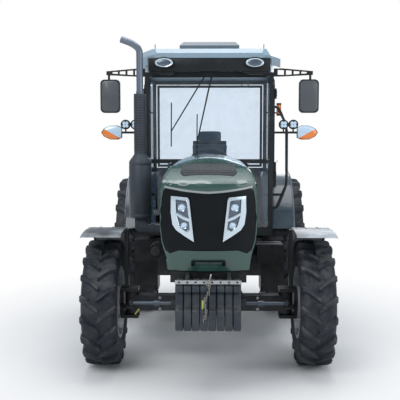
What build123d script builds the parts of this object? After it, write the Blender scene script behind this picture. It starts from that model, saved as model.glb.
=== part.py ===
"""Four-wheel-drive farm tractor with a glazed cab, built as an assembly of separate pieces.

Millimetres, +Z up, the tractor faces -Y and +X is its own left side. The origin is on the ground
at the middle of its length. Each piece is one STEP file, named as its node.
"""

import math
import os

from build123d import *

os.makedirs("parts", exist_ok=True)

# ---- driving dimensions --------------------------------------------------------------------
wheelbase = 2350.0
front_overhang = 1150.0  # front axle to the front of the weights
rear_overhang = 1000.0  # rear axle to the ends of the lower links
front_axle_y = front_overhang - (front_overhang + wheelbase + rear_overhang) / 2
rear_axle_y = front_axle_y + wheelbase

fit = 0.3  # gap between pieces that seat on each other
running = 0.05  # radial clearance of a shaft in its hole

front_track = 1894.0
front_tyre_radius = 570.0
front_tyre_width = 315.0
front_rim_radius = 305.0
front_lug_count = 18

rear_track = 1718.0
rear_tyre_radius = 785.0
rear_tyre_width = 430.0
rear_rim_radius = 432.0
rear_lug_count = 20

lug_height = 38.0
lug_thickness = 42.0
LUG_LINE = [(-0.04, -62, 0.38), (1.04, 48, 0.56)]
tyre_overhang = 16.0  # how far a tyre stands out past each side of its rim
rim_flange = 26.0  # how far the flanges stand out past the bead seat
rim_flange_slope = 12.0
disc_wall = 12.0
wheel_facets = 24

SIDES = {"left": 1, "right": -1}


def write(name, part):
    """Labels a finished piece and writes its STEP file."""
    part.label = name
    export_step(part, f"parts/{name}.step")


def plate_yz(outline, x_low, x_high):
    """A plate whose side outline is a closed polygon of (y, z), between two x planes."""
    with BuildPart() as plate:
        with BuildSketch(Plane.YZ.offset(x_low)):
            with BuildLine():
                Polyline(*outline, close=True)
            make_face()
        extrude(amount=x_high - x_low)
    return plate.part


def plate_xz(outline, y_low, y_high):
    """A plate whose front outline is a closed polygon of (x, z), between two y planes."""
    with BuildPart() as plate:
        with BuildSketch(Plane.XZ.offset(-y_low)):
            with BuildLine():
                Polyline(*outline, close=True)
            make_face()
        extrude(amount=-(y_high - y_low))
    return plate.part


def plate_xy(outline, z_low, z_high):
    """A plate whose plan outline is a closed polygon of (x, y), between two z planes."""
    with BuildPart() as plate:
        with BuildSketch(Plane.XY.offset(z_low)):
            with BuildLine():
                Polyline(*outline, close=True)
            make_face()
        extrude(amount=z_high - z_low)
    return plate.part


def block(x, y, z):
    """A box between pairs of planes."""
    with BuildPart() as made:
        with Locations(((x[0] + x[1]) / 2, (y[0] + y[1]) / 2, (z[0] + z[1]) / 2)):
            Box(x[1] - x[0], y[1] - y[0], z[1] - z[0])
    return made.part


def rod(start, end, radius):
    """A round bar between two points."""
    line = Vector(*end) - Vector(*start)
    with BuildPart() as made:
        with BuildSketch(Plane(origin=start, z_dir=line)):
            Circle(radius)
        extrude(amount=line.length)
    return made.part


def pipe(points, radius, bends):
    """A round tube along straight runs with tangent bends, one bend radius for each corner."""
    with BuildPart() as made:
        with BuildLine() as route:
            FilletPolyline(*points, radius=bends)
        with BuildSketch(Plane(origin=route.line @ 0, z_dir=route.line % 0)):
            Circle(radius)
        sweep()
    return made.part


def joined(*pieces):
    """One piece from solids that are welded or cast together."""
    with BuildPart() as whole:
        for piece in pieces:
            add(piece)
    return whole.part


def cut(body, *tools):
    """A piece with holes or recesses taken out."""
    with BuildPart() as left:
        add(body)
        for tool in tools:
            add(tool, mode=Mode.SUBTRACT)
    return left.part


def common(body, tool):
    """What two solids share."""
    with BuildPart() as shared:
        add(body)
        add(tool, mode=Mode.INTERSECT)
    return shared.part


def both_sides(piece):
    """A piece and its mirror image across the middle plane."""
    with BuildPart() as pair:
        add(piece)
        mirror(about=Plane.YZ)
    return pair.part


# ---- wheels --------------------------------------------------------------------------------
def faceted_ring(profile, facets):
    """A ring of flat facets about the X axis, from a closed profile of (x, radius at the corners)."""
    flat = math.cos(math.pi / facets)
    reach = max(radius for _, radius in profile)
    spread = reach * math.tan(math.pi / facets)
    low, high = min(x for x, _ in profile) - 1, max(x for x, _ in profile) + 1
    sector = common(plate_xz([(x, radius * flat) for x, radius in profile], -spread, spread),
                    plate_yz([(0, 0), (-spread, reach), (spread, reach)], low, high))
    with BuildPart() as ring:
        add([sector.rotate(Axis.X, 360 / facets * i) for i in range(facets)])
    return ring.part


def make_tyre(radius, width, rim_radius, lug_count):
    """A farm tyre about the X axis. Its lugs lean so that the middle of each chevron leads."""
    half = width / 2
    bead = half - tyre_overhang - rim_flange_slope - fit
    seat = rim_radius + fit
    bead_top = rim_radius + rim_flange + 6
    side = (rim_radius + radius) / 2
    tread = radius - lug_height
    profile = [(-bead, seat), (-bead, bead_top), (-half, side), (-half + 30, tread)]
    profile += [(half - 30, tread), (half, side), (bead, bead_top), (bead, seat)]
    carcass = faceted_ring(profile, wheel_facets)
    # Centre line of one lug as (share of half width, shift along the tread, half thickness).
    scale = radius / front_tyre_radius
    line = [(u * half, v * scale, t * lug_thickness * scale) for u, v, t in LUG_LINE]
    reach = max(abs(y) + t for _, y, t in line)
    top = math.sqrt(radius**2 - reach**2)
    inner = line[0][0]
    lug = common(
        plate_xy([(x, y - t) for x, y, t in line] + [(x, y + t) for x, y, t in reversed(line)],
                 side, radius),
        plate_xz([(inner, tread - 30), (inner, top), (half - 26, top - 6), (half - 4, top - 44)]
                 + [(half - 8, side + 10), (half - 60, side + 40)], -reach, reach),
    )
    pitch = 360 / lug_count
    other = mirror(lug, about=Plane.YZ).rotate(Axis.X, pitch / 2)
    standing = 180 - math.degrees(math.atan2(reach, top))  # brings one lug's corner to the ground
    with BuildPart() as tyre:
        add(carcass)
        add([piece.rotate(Axis.X, standing + pitch * i)
             for i in range(lug_count) for piece in (lug, other)])
    return tyre.part


def make_rim(rim_radius, half_width, disc):
    """A rolled rim with its dished disc, from the disc's middle line of (x, radius)."""
    x, joint = disc[0]
    loop = [(half_width, rim_radius + rim_flange), (half_width - rim_flange_slope, rim_radius)]
    loop += [(-half_width + rim_flange_slope, rim_radius), (-half_width, rim_radius + rim_flange)]
    loop += [(-half_width, rim_radius - 6), (x - disc_wall / 2, joint)]
    loop += [(px - disc_wall / 2, pr) for px, pr in disc[1:]]
    loop += [(px + disc_wall / 2, pr) for px, pr in reversed(disc[1:])]
    loop += [(x + disc_wall / 2, joint), (half_width, rim_radius - 6)]
    return faceted_ring(loop, wheel_facets)


def hand_holes(x, circle, radius):
    """Eight openings through a wheel disc."""
    with BuildPart() as holes:
        with BuildSketch(Plane.YZ.offset(x - 60)):
            with PolarLocations(circle, 8):
                RegularPolygon(radius, 6)
        extrude(amount=120)
    return holes.part


front_half_track = front_track / 2
rear_half_track = rear_track / 2
kingpin_x = 700.0
spindle_radius = 60.0
spindle_end_x = front_half_track + 20
hub_inner_x = kingpin_x + 104  # inner face of the turning hub
stub_radius = 50.0  # rear wheel stub
stub_end_x = rear_half_track - 60
axle_flange_x = 600.0  # outer face of the rear axle's end

front_hub_x = hub_inner_x - front_half_track  # the same face, from the wheel's middle plane
front_disc_x = 34.0  # outward of the wheel's middle plane
front_dish_x = front_disc_x + 46
front_rim_shape = joined(
    cut(make_rim(front_rim_radius, front_tyre_width / 2 - tyre_overhang,
                 [(front_disc_x, front_rim_radius - 30), (front_disc_x, 205), (front_dish_x, 140)]
                 + [(front_dish_x, 100)]),
        hand_holes(front_disc_x, 236, 21)),
    cut(faceted_ring([(front_hub_x, 0), (front_hub_x, 150), (front_dish_x + 2, 150)]
                     + [(front_dish_x + 28, 122), (front_dish_x + 46, 84), (front_dish_x + 72, 84)]
                     + [(front_dish_x + 72, 0)], wheel_facets // 2),
        rod((front_hub_x - 5, 0, 0), (spindle_end_x - front_half_track + 5, 0, 0),
            spindle_radius + running)),
)
rear_hub_x = axle_flange_x + 5 - rear_half_track
rear_disc_x = -34.0
rear_dish_x = rear_disc_x - 100
rear_rim_shape = joined(
    cut(make_rim(rear_rim_radius, rear_tyre_width / 2 - tyre_overhang,
                 [(rear_disc_x, rear_rim_radius - 30), (rear_disc_x, 340), (rear_dish_x, 230)]
                 + [(rear_dish_x, 100)]),
        hand_holes(rear_disc_x, 370, 23)),
    cut(faceted_ring([(rear_hub_x, 0), (rear_hub_x, 150), (rear_dish_x + 10, 150)]
                     + [(rear_dish_x + 40, 96), (rear_dish_x + 110, 84), (rear_dish_x + 110, 0)],
                     wheel_facets // 2),
        rod((rear_hub_x - 5, 0, 0), (stub_end_x - rear_half_track + 5, 0, 0), stub_radius + running)),
)

front_tyre_shape = make_tyre(front_tyre_radius, front_tyre_width, front_rim_radius, front_lug_count)
rear_tyre_shape = make_tyre(rear_tyre_radius, rear_tyre_width, rear_rim_radius, rear_lug_count)

# end, tyre, rim, half track, axle y, axle height
WHEELS = [
    ("front", front_tyre_shape, front_rim_shape, front_half_track, front_axle_y, front_tyre_radius),
    ("rear", rear_tyre_shape, rear_rim_shape, rear_half_track, rear_axle_y, rear_tyre_radius),
]
for end, tyre, rim, half_track, axle_y, axle_z in WHEELS:
    for side, sign in SIDES.items():
        place = Location((sign * half_track, axle_y, axle_z))
        rim_here = rim if sign > 0 else mirror(rim, about=Plane.YZ)
        write(f"tyre_{end}_{side}", tyre.moved(place))
        write(f"rim_{end}_{side}", rim_here.moved(place))

# ---- front axle, steering and front fenders ------------------------------------------------
front_axle_z = front_tyre_radius
beam_half_depth = 60.0
beam_low, beam_high = front_axle_z - 70, front_axle_z + 70
frame_low, frame_high = 690.0, 900.0
knuckle_gap = 6.0  # between the beam's end and the knuckle's arms
kingpin_radius = 22.0
post_low, post_high = front_axle_z - 100, front_axle_z + 100
arm_thickness = 30.0
steering_arm = 170.0
steer_z = front_axle_z + 22
steer_y = front_axle_y - steering_arm
barrel_half = 330.0
piston_rod_radius = 16.0


def at_kingpin(part):
    """Moves a piece drawn about the left kingpin's foot to its place."""
    return part.moved(Location((kingpin_x, front_axle_y, 0)))


axle_end = at_kingpin(joined(
    rod((0, 0, post_low), (0, 0, post_high), 62),
    rod((0, 0, post_low - knuckle_gap - arm_thickness), (0, 0, post_high + knuckle_gap + arm_thickness),
        kingpin_radius),
))
front_axle = joined(
    block((-kingpin_x + 20, kingpin_x - 20), (front_axle_y - beam_half_depth,
          front_axle_y + beam_half_depth), (beam_low, beam_high)),
    block((-150, 150), (front_axle_y - 110, front_axle_y + 130), (beam_low - 30, beam_high)),
    block((-100, 100), (front_axle_y - 80, front_axle_y + 80), (beam_high, frame_low - fit)),
    both_sides(block((210, 290), (steer_y + 38, front_axle_y), (beam_low + 30, steer_z + 38))),
    both_sides(axle_end),
)
steering_bore = rod((-barrel_half - 5, steer_y, steer_z), (barrel_half + 5, steer_y, steer_z),
                    piston_rod_radius + running)
steering_barrel = rod((-barrel_half, steer_y, steer_z), (barrel_half, steer_y, steer_z), 38)
write("front_axle", cut(joined(front_axle, steering_barrel), steering_bore))
write("steering_rod", joined(
    rod((-kingpin_x, steer_y, steer_z), (kingpin_x, steer_y, steer_z), piston_rod_radius),
    both_sides(rod((kingpin_x, steer_y, steer_z - 14), (kingpin_x, steer_y, steer_z + 14), 26)),
    both_sides(rod((440, steer_y, steer_z), (490, steer_y, steer_z), 26)),
))

fender_gap = 100.0  # front tyre to the underside of its fender
front_fender_radius = front_tyre_radius + fender_gap
front_fender_inner = front_half_track - 190
front_fender_outer = front_half_track + 160
fender_arm_top = front_axle_z + front_fender_radius - 1
wall_in = 75.0
wall_out = hub_inner_x - kingpin_x - 5
arm_outline = [(-60, -80), (wall_out, -80), (wall_out, 80), (-60, 80)]
kingpin_bore = rod((0, 0, 0), (0, 0, 2000), kingpin_radius + running)
top_arm = post_high + knuckle_gap
low_arm = post_low - knuckle_gap - arm_thickness
knuckle = at_kingpin(joined(
    cut(joined(
        plate_xy(arm_outline, top_arm, top_arm + arm_thickness),
        plate_xy(arm_outline, low_arm, low_arm + arm_thickness),
        block((wall_in, wall_out), (-80, 80), (low_arm, top_arm + arm_thickness)),
    ), kingpin_bore),
    plate_xy([(wall_in, -70), (wall_out, -70), (wall_out, -100), (40, -200), (-24, -200)]
             + [(-24, -146), (20, -140), (wall_in, -80)], steer_z - 46, steer_z - 22),
    rod((wall_out - 5, 0, front_axle_z), (spindle_end_x - kingpin_x, 0, front_axle_z), spindle_radius),
    block((30, 62), (-40, 40), (top_arm + arm_thickness - 5, fender_arm_top - 20)),
    block((30, front_half_track - kingpin_x + 60), (-22, 22), (fender_arm_top - 36, fender_arm_top)),
))


def arc_plate(center, radii, angles, x):
    """A curved sheet about an X axis through (y, z), angles in degrees from +Y towards +Z."""
    cy, cz = center
    with BuildPart() as sheet:
        with BuildSketch(Plane.YZ.offset(x[0])):
            with BuildLine():
                outer = CenterArc((cy, cz), radii[1], angles[0], angles[1] - angles[0])
                inner = CenterArc((cy, cz), radii[0], angles[0], angles[1] - angles[0])
                Line(outer @ 0, inner @ 0)
                Line(outer @ 1, inner @ 1)
            make_face()
        extrude(amount=x[1] - x[0])
    return sheet.part


front_fender = joined(
    arc_plate((front_axle_y, front_axle_z), (front_fender_radius, front_fender_radius + 12),
              (28, 128), (front_fender_inner, front_fender_outer)),
    arc_plate((front_axle_y, front_axle_z), (front_fender_radius - 45, front_fender_radius + 12),
              (28, 128), (front_fender_outer - 10, front_fender_outer)),
)
for side, sign in SIDES.items():
    write(f"knuckle_{side}", knuckle if sign > 0 else mirror(knuckle, about=Plane.YZ))
    write(f"front_fender_{side}", front_fender if sign > 0 else mirror(front_fender, about=Plane.YZ))

# ---- chassis castings ----------------------------------------------------------------------
frame_front_y = front_axle_y - 780
frame_half = 190.0
clutch_y = -250.0
gearbox_half = 210.0
axle_front_y = rear_axle_y - 170
axle_back_y = rear_axle_y + 250
rear_axle_z = rear_tyre_radius
write("front_frame", joined(
    both_sides(block((frame_half - 40, frame_half), (frame_front_y, clutch_y - fit),
                     (frame_low, frame_high))),
    block((-frame_half, frame_half), (frame_front_y, frame_front_y + 360), (frame_low, frame_high)),
    block((-frame_half, frame_half), (front_axle_y - 180, front_axle_y + 200), (frame_low, 800)),
))
write("engine", joined(
    block((-frame_half + 40 + fit, frame_half - 40 - fit), (front_axle_y + 200 + fit, clutch_y - fit),
          (640, frame_high + fit)),
    block((-230, 230), (front_axle_y - 150, clutch_y - fit), (frame_high + fit, 1420)),
    block((-110, 110), (front_axle_y - 100, clutch_y - 60), (1420, 1560)),
))
write("radiator", block((-290, 290), (frame_front_y + 190, frame_front_y + 400),
                        (frame_high + fit, 1620)))
write("transmission", joined(
    block((-gearbox_half, gearbox_half), (clutch_y, axle_front_y - fit), (560, 1000)),
    block((-60, 60), (-70, -10), (1000, 1850)),
    rod((-110, -40, 1820), (110, -40, 1820), 11),
    rod((0, front_axle_y + 130 + fit, 540), (0, 60, 540), 34),
))
rear_axle = joined(
    block((-230, 230), (axle_front_y, axle_back_y), (520, 1000)),
    both_sides(rod((200, rear_axle_y, rear_axle_z), (axle_flange_x - 30, rear_axle_y, rear_axle_z), 115)),
    both_sides(rod((axle_flange_x - 40, rear_axle_y, rear_axle_z),
                   (axle_flange_x, rear_axle_y, rear_axle_z), 150)),
    both_sides(rod((axle_flange_x - 5, rear_axle_y, rear_axle_z),
                   (stub_end_x, rear_axle_y, rear_axle_z), stub_radius)),
)
write("rear_axle", rear_axle)

# ---- nose: weights, carrier and chin -------------------------------------------------------
length = front_overhang + wheelbase + rear_overhang
front_y = -length / 2
weight_count = 8
weight_pitch = 64.0
weight_thickness = 60.0
weight_span = weight_count * weight_pitch / 2
bar_front, bar_back = front_y + 200, front_y + 270
bar_low, bar_high = 820.0, 890.0
weight_outline = [(front_y, 600), (front_y + 30, 580), (bar_front - 30, 580), (bar_front - fit, 620)]
weight_outline += [(bar_front - fit, bar_high + fit), (bar_back, bar_high + fit)]
weight_outline += [(bar_back, 950), (front_y + 60, 955), (front_y + 12, 935), (front_y + 12, 875)]
weight_outline += [(front_y + 45, 855), (front_y + 45, 790), (front_y, 765)]
with BuildPart() as weights:
    for index in range(weight_count):
        left = -weight_span + index * weight_pitch + (weight_pitch - weight_thickness) / 2
        add(plate_yz(weight_outline, left, left + weight_thickness))
write("front_weights", weights.part)
clamp_holes = joined(*[
    rod((-weight_span + (index + 0.5) * weight_pitch, front_y, 968),
        (-weight_span + (index + 0.5) * weight_pitch, front_y + 60, 968), 9)
    for index in range(weight_count)
])
write("weight_carrier", joined(
    block((-weight_span, weight_span), (bar_front, bar_back), (bar_low, bar_high)),
    both_sides(block((150, 180), (bar_front, frame_front_y - fit), (700, bar_high))),
    both_sides(block((150, 180), (bar_back + fit, frame_front_y - fit), (700, 985))),
    block((-180, 180), (frame_front_y - 30, frame_front_y - fit), (frame_low, 910)),
    cut(block((-weight_span, weight_span), (front_y + 20, front_y + 34), (955 + fit, 985)), clamp_holes),
    both_sides(block((150, 180), (front_y + 20, bar_back + 20), (965, 985))),
))
write("chin_panel", joined(
    block((-310, 310), (frame_front_y + fit, frame_front_y + 24), (frame_high + fit, 985)),
    both_sides(block((frame_half - 40, frame_half), (frame_front_y + 20, frame_front_y + 120),
                     (frame_high + fit, 940))),
))

# ---- hood ----------------------------------------------------------------------------------
hood_front = front_axle_y - 800
hood_back = -10.0
hood_skin = 10.0
hood_low = 1235.0
lip_z, crest_z, crest_y = 1672.0, 1898.0, front_axle_y - 180


def hood_solid(inset):
    """The hood's outside, or its inside a skin's thickness in, as one solid."""
    t = inset
    with BuildPart() as solid:
        with BuildSketch(Plane.XZ.offset(-hood_front + (5 if t else 0))):
            with BuildLine():
                Polyline((0, 995 - 10 * (t > 0)), (330 - t, 995 - 10 * (t > 0)), (342 - t, 1160),
                         (400 - t, 1330), (394 - t, 1640))
                ThreePointArc((394 - t, 1640), (368 - t, 1762 - t), (292 - t, 1836 - t))
                ThreePointArc((292 - t, 1836 - t), (150, 1882 - t), (0, crest_z - t))
                Line((0, crest_z - t), (0, 995 - 10 * (t > 0)))
            make_face()
        extrude(amount=-(hood_back - hood_front + (10 if t else 0)))
        mirror(about=Plane.YZ)
        add(plate_yz([(hood_front - 20, 900), (hood_front + 300, 900), (hood_front + 420, hood_low)]
                     + [(hood_back + 20, hood_low), (hood_back + 20, 2000)]
                     + [(crest_y, crest_z + 100 - t), (crest_y, crest_z - t)]
                     + [(hood_front + 240, 1806 - t), (hood_front, lip_z - t), (hood_front - 20, lip_z - t)],
                     -500, 500), mode=Mode.INTERSECT)
    return solid.part


hinge_y, hinge_z, hinge_pin = -40.0, 1820.0, 11.0
panel_outline = [(-352, 1330), (-345, 1600), (-200, 1648), (0, 1625), (200, 1648), (345, 1600)]
panel_outline += [(352, 1330), (322, 1165), (-322, 1165)]
hood_shell = joined(
    cut(hood_solid(0), hood_solid(hood_skin)),
    common(hood_solid(0), cut(
        block((-400, 400), (hood_front, hood_front + 12), (995, 1700)),
        plate_xz([(x + (4 if x > 0 else -4 if x < 0 else 0), z + (4 if z > 1400 else -4))
                  for x, z in panel_outline], hood_front - 5, hood_front + 20),
    )),
    both_sides(cut(
        block((72, 92), (hinge_y - 26, hinge_y + 26), (hinge_z - 24, crest_z - 12)),
        rod((60, hinge_y, hinge_z), (100, hinge_y, hinge_z), hinge_pin + running),
    )),
)
write("hood_shell", hood_shell)
write("grille_panel", joined(
    plate_xz(panel_outline, hood_front + 2, hood_front + 10),
    plate_xz([(-362, 1325), (-356, 1608), (-200, 1660), (0, 1640), (200, 1660), (356, 1608)]
             + [(362, 1325), (328, 1150), (-328, 1150)], hood_front + 12 + fit, hood_front + 18),
    block((-300, 300), (hood_front + 9, hood_front + 13), (1200, 1560)),
    block((-130, 130), (hood_front - 30, hood_front - 14), (1042, 1088)),
    both_sides(block((100, 130), (hood_front - 15, hood_front - fit), (1042, 1088))),
))
lamp_outline = [(304, 1604), (158, 1594), (116, 1236), (292, 1368)]
lamp_cell_high = [(272, 1574), (176, 1566), (160, 1436), (262, 1452)]
lamp_cell_low = [(258, 1428), (156, 1412), (140, 1284), (252, 1376)]
write("headlamps", both_sides(cut(
    plate_xz(lamp_outline, hood_front - 22, hood_front + 2 - fit),
    plate_xz(lamp_cell_high, hood_front - 30, hood_front - 8),
    plate_xz(lamp_cell_low, hood_front - 30, hood_front - 8),
)))

# ---- exhaust, tanks, steps -----------------------------------------------------------------
exhaust_x, exhaust_y = -690.0, front_axle_y + 750
exhaust_profile = [(0, 1265), (113, 1265), (113, 1830), (61, 1900), (61, 2500), (34, 2500), (34, 2860)]
with BuildPart() as silencer:
    with BuildSketch(Plane.XZ):
        with BuildLine():
            Polyline(*exhaust_profile, (0, 2860), close=True)
        make_face()
    revolve(axis=Axis.Z)
with BuildPart() as tail_pipe:
    with BuildLine() as route:
        FilletPolyline((0, 0, 2850), (0, 0, 2930), (-180, 0, 3035), radius=60)
    with BuildSketch(Plane(origin=route.line @ 0, z_dir=route.line % 0)):
        Circle(34)
    sweep()
exhaust = joined(
    joined(silencer.part, tail_pipe.part).moved(Location((exhaust_x, exhaust_y, 0))),
    block((exhaust_x - 50, exhaust_x + 50), (exhaust_y - 50, exhaust_y + 50), (1130, 1266)),
    block((exhaust_x - 40, -230 - fit), (exhaust_y - 40, exhaust_y + 40), (1120, 1200)),
)
write("exhaust", exhaust)
battery_box = joined(
    block((490, 757), (-260, 40), (775, 976)),
    block((gearbox_half + fit, 491), (-240, -180), (800, 860)),
    block((gearbox_half + fit, 491), (-40, 20), (800, 860)),
)
write("side_boxes", joined(
    battery_box,
    rod((-545, -240, 905), (-545, 60, 905), 72),
    block((-500, -gearbox_half - fit), (-200, -150), (860, 900)),
    block((-500, -gearbox_half - fit), (-30, 20), (860, 900)),
))
tank = block((gearbox_half + fit, 550), (60, 440), (600, 1000))
write("fuel_tanks", both_sides(tank))
step_front, step_back = 80.0, 430.0
step_outer = 800.0
steps = joined(
    block((550 + fit, 580), (step_front, step_back), (420, 1000)),
    *[block((579, step_outer), (step_front, step_back), (z, z + 24)) for z in (430, 700, 960)],
    block((580, step_outer), (step_front, step_front + 8), (431, 960)),
)
write("steps", both_sides(steps))

# ---- cab -----------------------------------------------------------------------------------
floor_z = 1060.0
wall_inner, wall_outer = 600.0, 612.0
fender_clearance = 70.0
fender_radius = rear_tyre_radius + fender_clearance
fender_skin = 12.0
arch_radius = fender_radius + fender_skin
glass = 6.0
a_front, a_back = 60.0, 110.0
a_in, a_out = 625.0, 672.0
b_front, b_back = 800.0, 850.0
b_in, b_out = 700.0, 742.0
c_front, c_back = 1400.0, 1450.0
c_in, c_out = 650.0, 692.0
rail_low, rail_high = 2700.0, 2745.0
waist_z = 1698.0
screen_low = 1830.0


def arch(radius, x_low, x_high):
    """A full disc about the rear axle, as wide as the two x planes."""
    return rod((x_low, rear_axle_y, rear_axle_z), (x_high, rear_axle_y, rear_axle_z), radius)


over_floor = block((-1100, 1100), (rear_axle_y - 1250, rear_axle_y + 1000), (floor_z, 2000))
rear_fender = joined(
    common(cut(arch(arch_radius, wall_inner, 945), arch(fender_radius, wall_inner - 5, 950)), over_floor),
    common(arch(arch_radius, wall_inner, wall_outer), over_floor),
    common(cut(arch(arch_radius, 935, 945), arch(fender_radius - 30, 930, 950)), over_floor),
)
write("rear_fenders", both_sides(rear_fender))
outline_plan = [(-a_out, a_front), (a_out, a_front), (a_out, a_back), (b_out, b_front), (b_out, b_back)]
outline_plan += [(c_out, c_front), (c_out, c_back), (-c_out, c_back), (-c_out, c_front)]
outline_plan += [(-b_out, b_back), (-b_out, b_front), (-a_out, a_back)]
inner_plan = [(-a_in, a_back), (a_in, a_back), (b_in, b_front), (b_in, b_back), (c_in, c_front)]
inner_plan += [(-c_in, c_front), (-b_in, b_back), (-b_in, b_front)]
hinge_x, hinge_line_y = 756.0, 800.0
plan_angle = math.degrees(math.atan2(hinge_x - (a_out + 10), hinge_line_y - a_back))


def to_door_plane(piece):
    """Turns a piece drawn square to the tractor into the plane of the closed left door."""
    return piece.rotate(Axis((hinge_x, hinge_line_y, 0), (0, 0, 1)), -plan_angle)


door_gap = 8.0
door_low, door_high = 1100.0, rail_low - 10
door_edge = [(a_back + door_gap, door_low), (372, door_low), (440, 1300), (472, 1430)]
door_edge += [(600, 1542), (b_front - door_gap, 1542), (b_front - door_gap, door_high)]
door_edge += [(a_back + door_gap, door_high)]
quarter_panel = to_door_plane(plate_yz(
    [(384, floor_z), (384, 1094), (450, 1296), (480, 1423), (605, 1533), (b_front, 1533), (b_front, 1480)]
    + [(620, 1380), (470, floor_z)], b_in + 6, b_out - 6))
seat_rail = block((c_in, b_out), (b_front, c_back), (1480, waist_z))
cab_frame = joined(
    both_sides(block((a_in, a_out), (a_front, a_back), (floor_z - 30, rail_high))),
    both_sides(cut(block((b_in, b_out), (b_front, b_back), (1480, rail_high)),
                   arch(arch_radius + fit, 600, 1000))),
    both_sides(cut(block((c_in, c_out), (c_front, c_back), (1560, rail_high)),
                   arch(arch_radius + fit, 600, 1000))),
    both_sides(cut(
        plate_xy([(b_out, b_front), (b_out, b_back), (c_out, c_front), (c_out, c_back)]
                 + [(c_in, c_back), (c_in, c_front), (b_in, b_back), (b_in, b_front)], 1480, waist_z),
        arch(arch_radius + fit, 600, 1000))),
    cut(plate_xy(outline_plan, rail_low, rail_high), plate_xy(inner_plan, rail_low - 5, rail_high + 5)),
    block((-a_in, a_in), (a_front, a_back - 20), (screen_low - 30, screen_low)),
    block((-a_in, a_in), (a_front, a_front + 20), (floor_z - 30, 1110)),
    block((-c_in, c_in), (c_front, c_back), (1642, waist_z - 8)),
    both_sides(block((wall_outer + fit, a_out - 30), (a_back - 5, 400), (floor_z - 30, floor_z + 28))),
    block((-402, 402), (a_front, a_front + 16), (1105, screen_low - 25)),
)
write("cab_frame", cab_frame)
write("cab_floor", joined(
    block((-wall_inner + fit, wall_inner - fit), (a_front + 20 + fit, c_back), (floor_z - 30, floor_z)),
    block((-wall_inner + fit, wall_inner - fit), (c_front + 20, c_back), (floor_z, 1642 - fit)),
    block((-200, 200), (a_front + 20 + fit, c_front), (1000 + fit, floor_z - 25)),
))
screen_y = a_front + 24
rear_glass = plate_xy([(b_out - 10, b_back + fit), (b_out - 16, b_back + fit)]
                      + [(c_out - 16, c_front - fit), (c_out - 10, c_front - fit)],
                      waist_z + fit, rail_low - fit)
write("cab_glass", joined(
    block((-a_in + fit, a_in - fit), (screen_y, screen_y + glass), (screen_low + fit, rail_low - fit)),
    both_sides(block((402 + fit, a_in - fit), (a_front + 6, a_front + 12), (1110 + fit,
                     screen_low - 30 - fit))),
    both_sides(rear_glass),
))

# ---- doors and rear window -----------------------------------------------------------------
frame_bar = 34.0
door_in, door_out = b_in + 8, b_out - 8
window_edge = [(a_back + door_gap + frame_bar, door_low + frame_bar), (352, door_low + frame_bar)]
window_edge += [(408, 1312), (444, 1452), (586, 1576), (b_front - door_gap - frame_bar, 1576)]
window_edge += [(b_front - door_gap - frame_bar, door_high - frame_bar)]
window_edge += [(a_back + door_gap + frame_bar, door_high - frame_bar)]
hinge_heights = (1640.0, 2560.0)
hinge_half = 36.0
hinge_radius, hinge_pin_radius = 12.0, 6.0
handle_y, handle_low, handle_high = 190.0, 1560.0, 1780.0
door = joined(
    cut(plate_yz(door_edge, door_in, door_out), plate_yz(window_edge, door_in - 5, door_out + 5)),
    *[cut(joined(
        rod((hinge_x, hinge_line_y, z - hinge_half), (hinge_x, hinge_line_y, z + hinge_half), hinge_radius),
        block((door_out - 10, hinge_x), (hinge_line_y - 32, hinge_line_y - 4), (z - hinge_half,
              z + hinge_half)),
    ), rod((hinge_x, hinge_line_y, z - 60), (hinge_x, hinge_line_y, z + 60),
           hinge_pin_radius + running)) for z in hinge_heights],
    block((door_in, door_out), (a_back + door_gap + 20, handle_y + 14), (handle_low - 30, handle_low + 4)),
    block((door_in, door_out), (a_back + door_gap + 20, handle_y + 14), (handle_high - 4,
          handle_high + 30)),
    block((door_out - 5, door_out + 44), (handle_y - 12, handle_y + 12), (handle_low - 24, handle_low)),
    block((door_out - 5, door_out + 44), (handle_y - 12, handle_y + 12), (handle_high, handle_high + 24)),
    block((door_out + 26, door_out + 44), (handle_y - 12, handle_y + 12), (handle_low - 10,
          handle_high + 10)),
)
door_glass = cut(
    plate_yz(window_edge, door_in + 9, door_in + 9 + glass),
    block((door_in, door_out), (a_back, handle_y + 14 + fit), (handle_low - 30 - fit, handle_low + 4 + fit)),
    block((door_in, door_out), (a_back, handle_y + 14 + fit), (handle_high - 4 - fit,
          handle_high + 30 + fit)),
)
door_here, glass_here = to_door_plane(door), to_door_plane(door_glass)
for side, sign in SIDES.items():
    write(f"door_{side}", door_here if sign > 0 else mirror(door_here, about=Plane.YZ))
    write(f"door_glass_{side}", glass_here if sign > 0 else mirror(glass_here, about=Plane.YZ))
door_hinges = joined(*[
    piece for z in hinge_heights for piece in (
        rod((hinge_x, hinge_line_y, z - hinge_half - 20), (hinge_x, hinge_line_y, z + hinge_half + 20),
            hinge_pin_radius),
        block((b_out + fit, hinge_x + 8), (hinge_line_y - 8, b_back - 10), (z + hinge_half + 8,
              z + hinge_half + 22)),
        block((b_out + fit, hinge_x + 8), (hinge_line_y - 8, b_back - 10), (z - hinge_half - 22,
              z - hinge_half - 8)),
        block((b_out + fit, hinge_x - 4), (hinge_line_y + 22, b_back - 10), (z - hinge_half - 22,
              z + hinge_half + 22)),
    )
])

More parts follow.
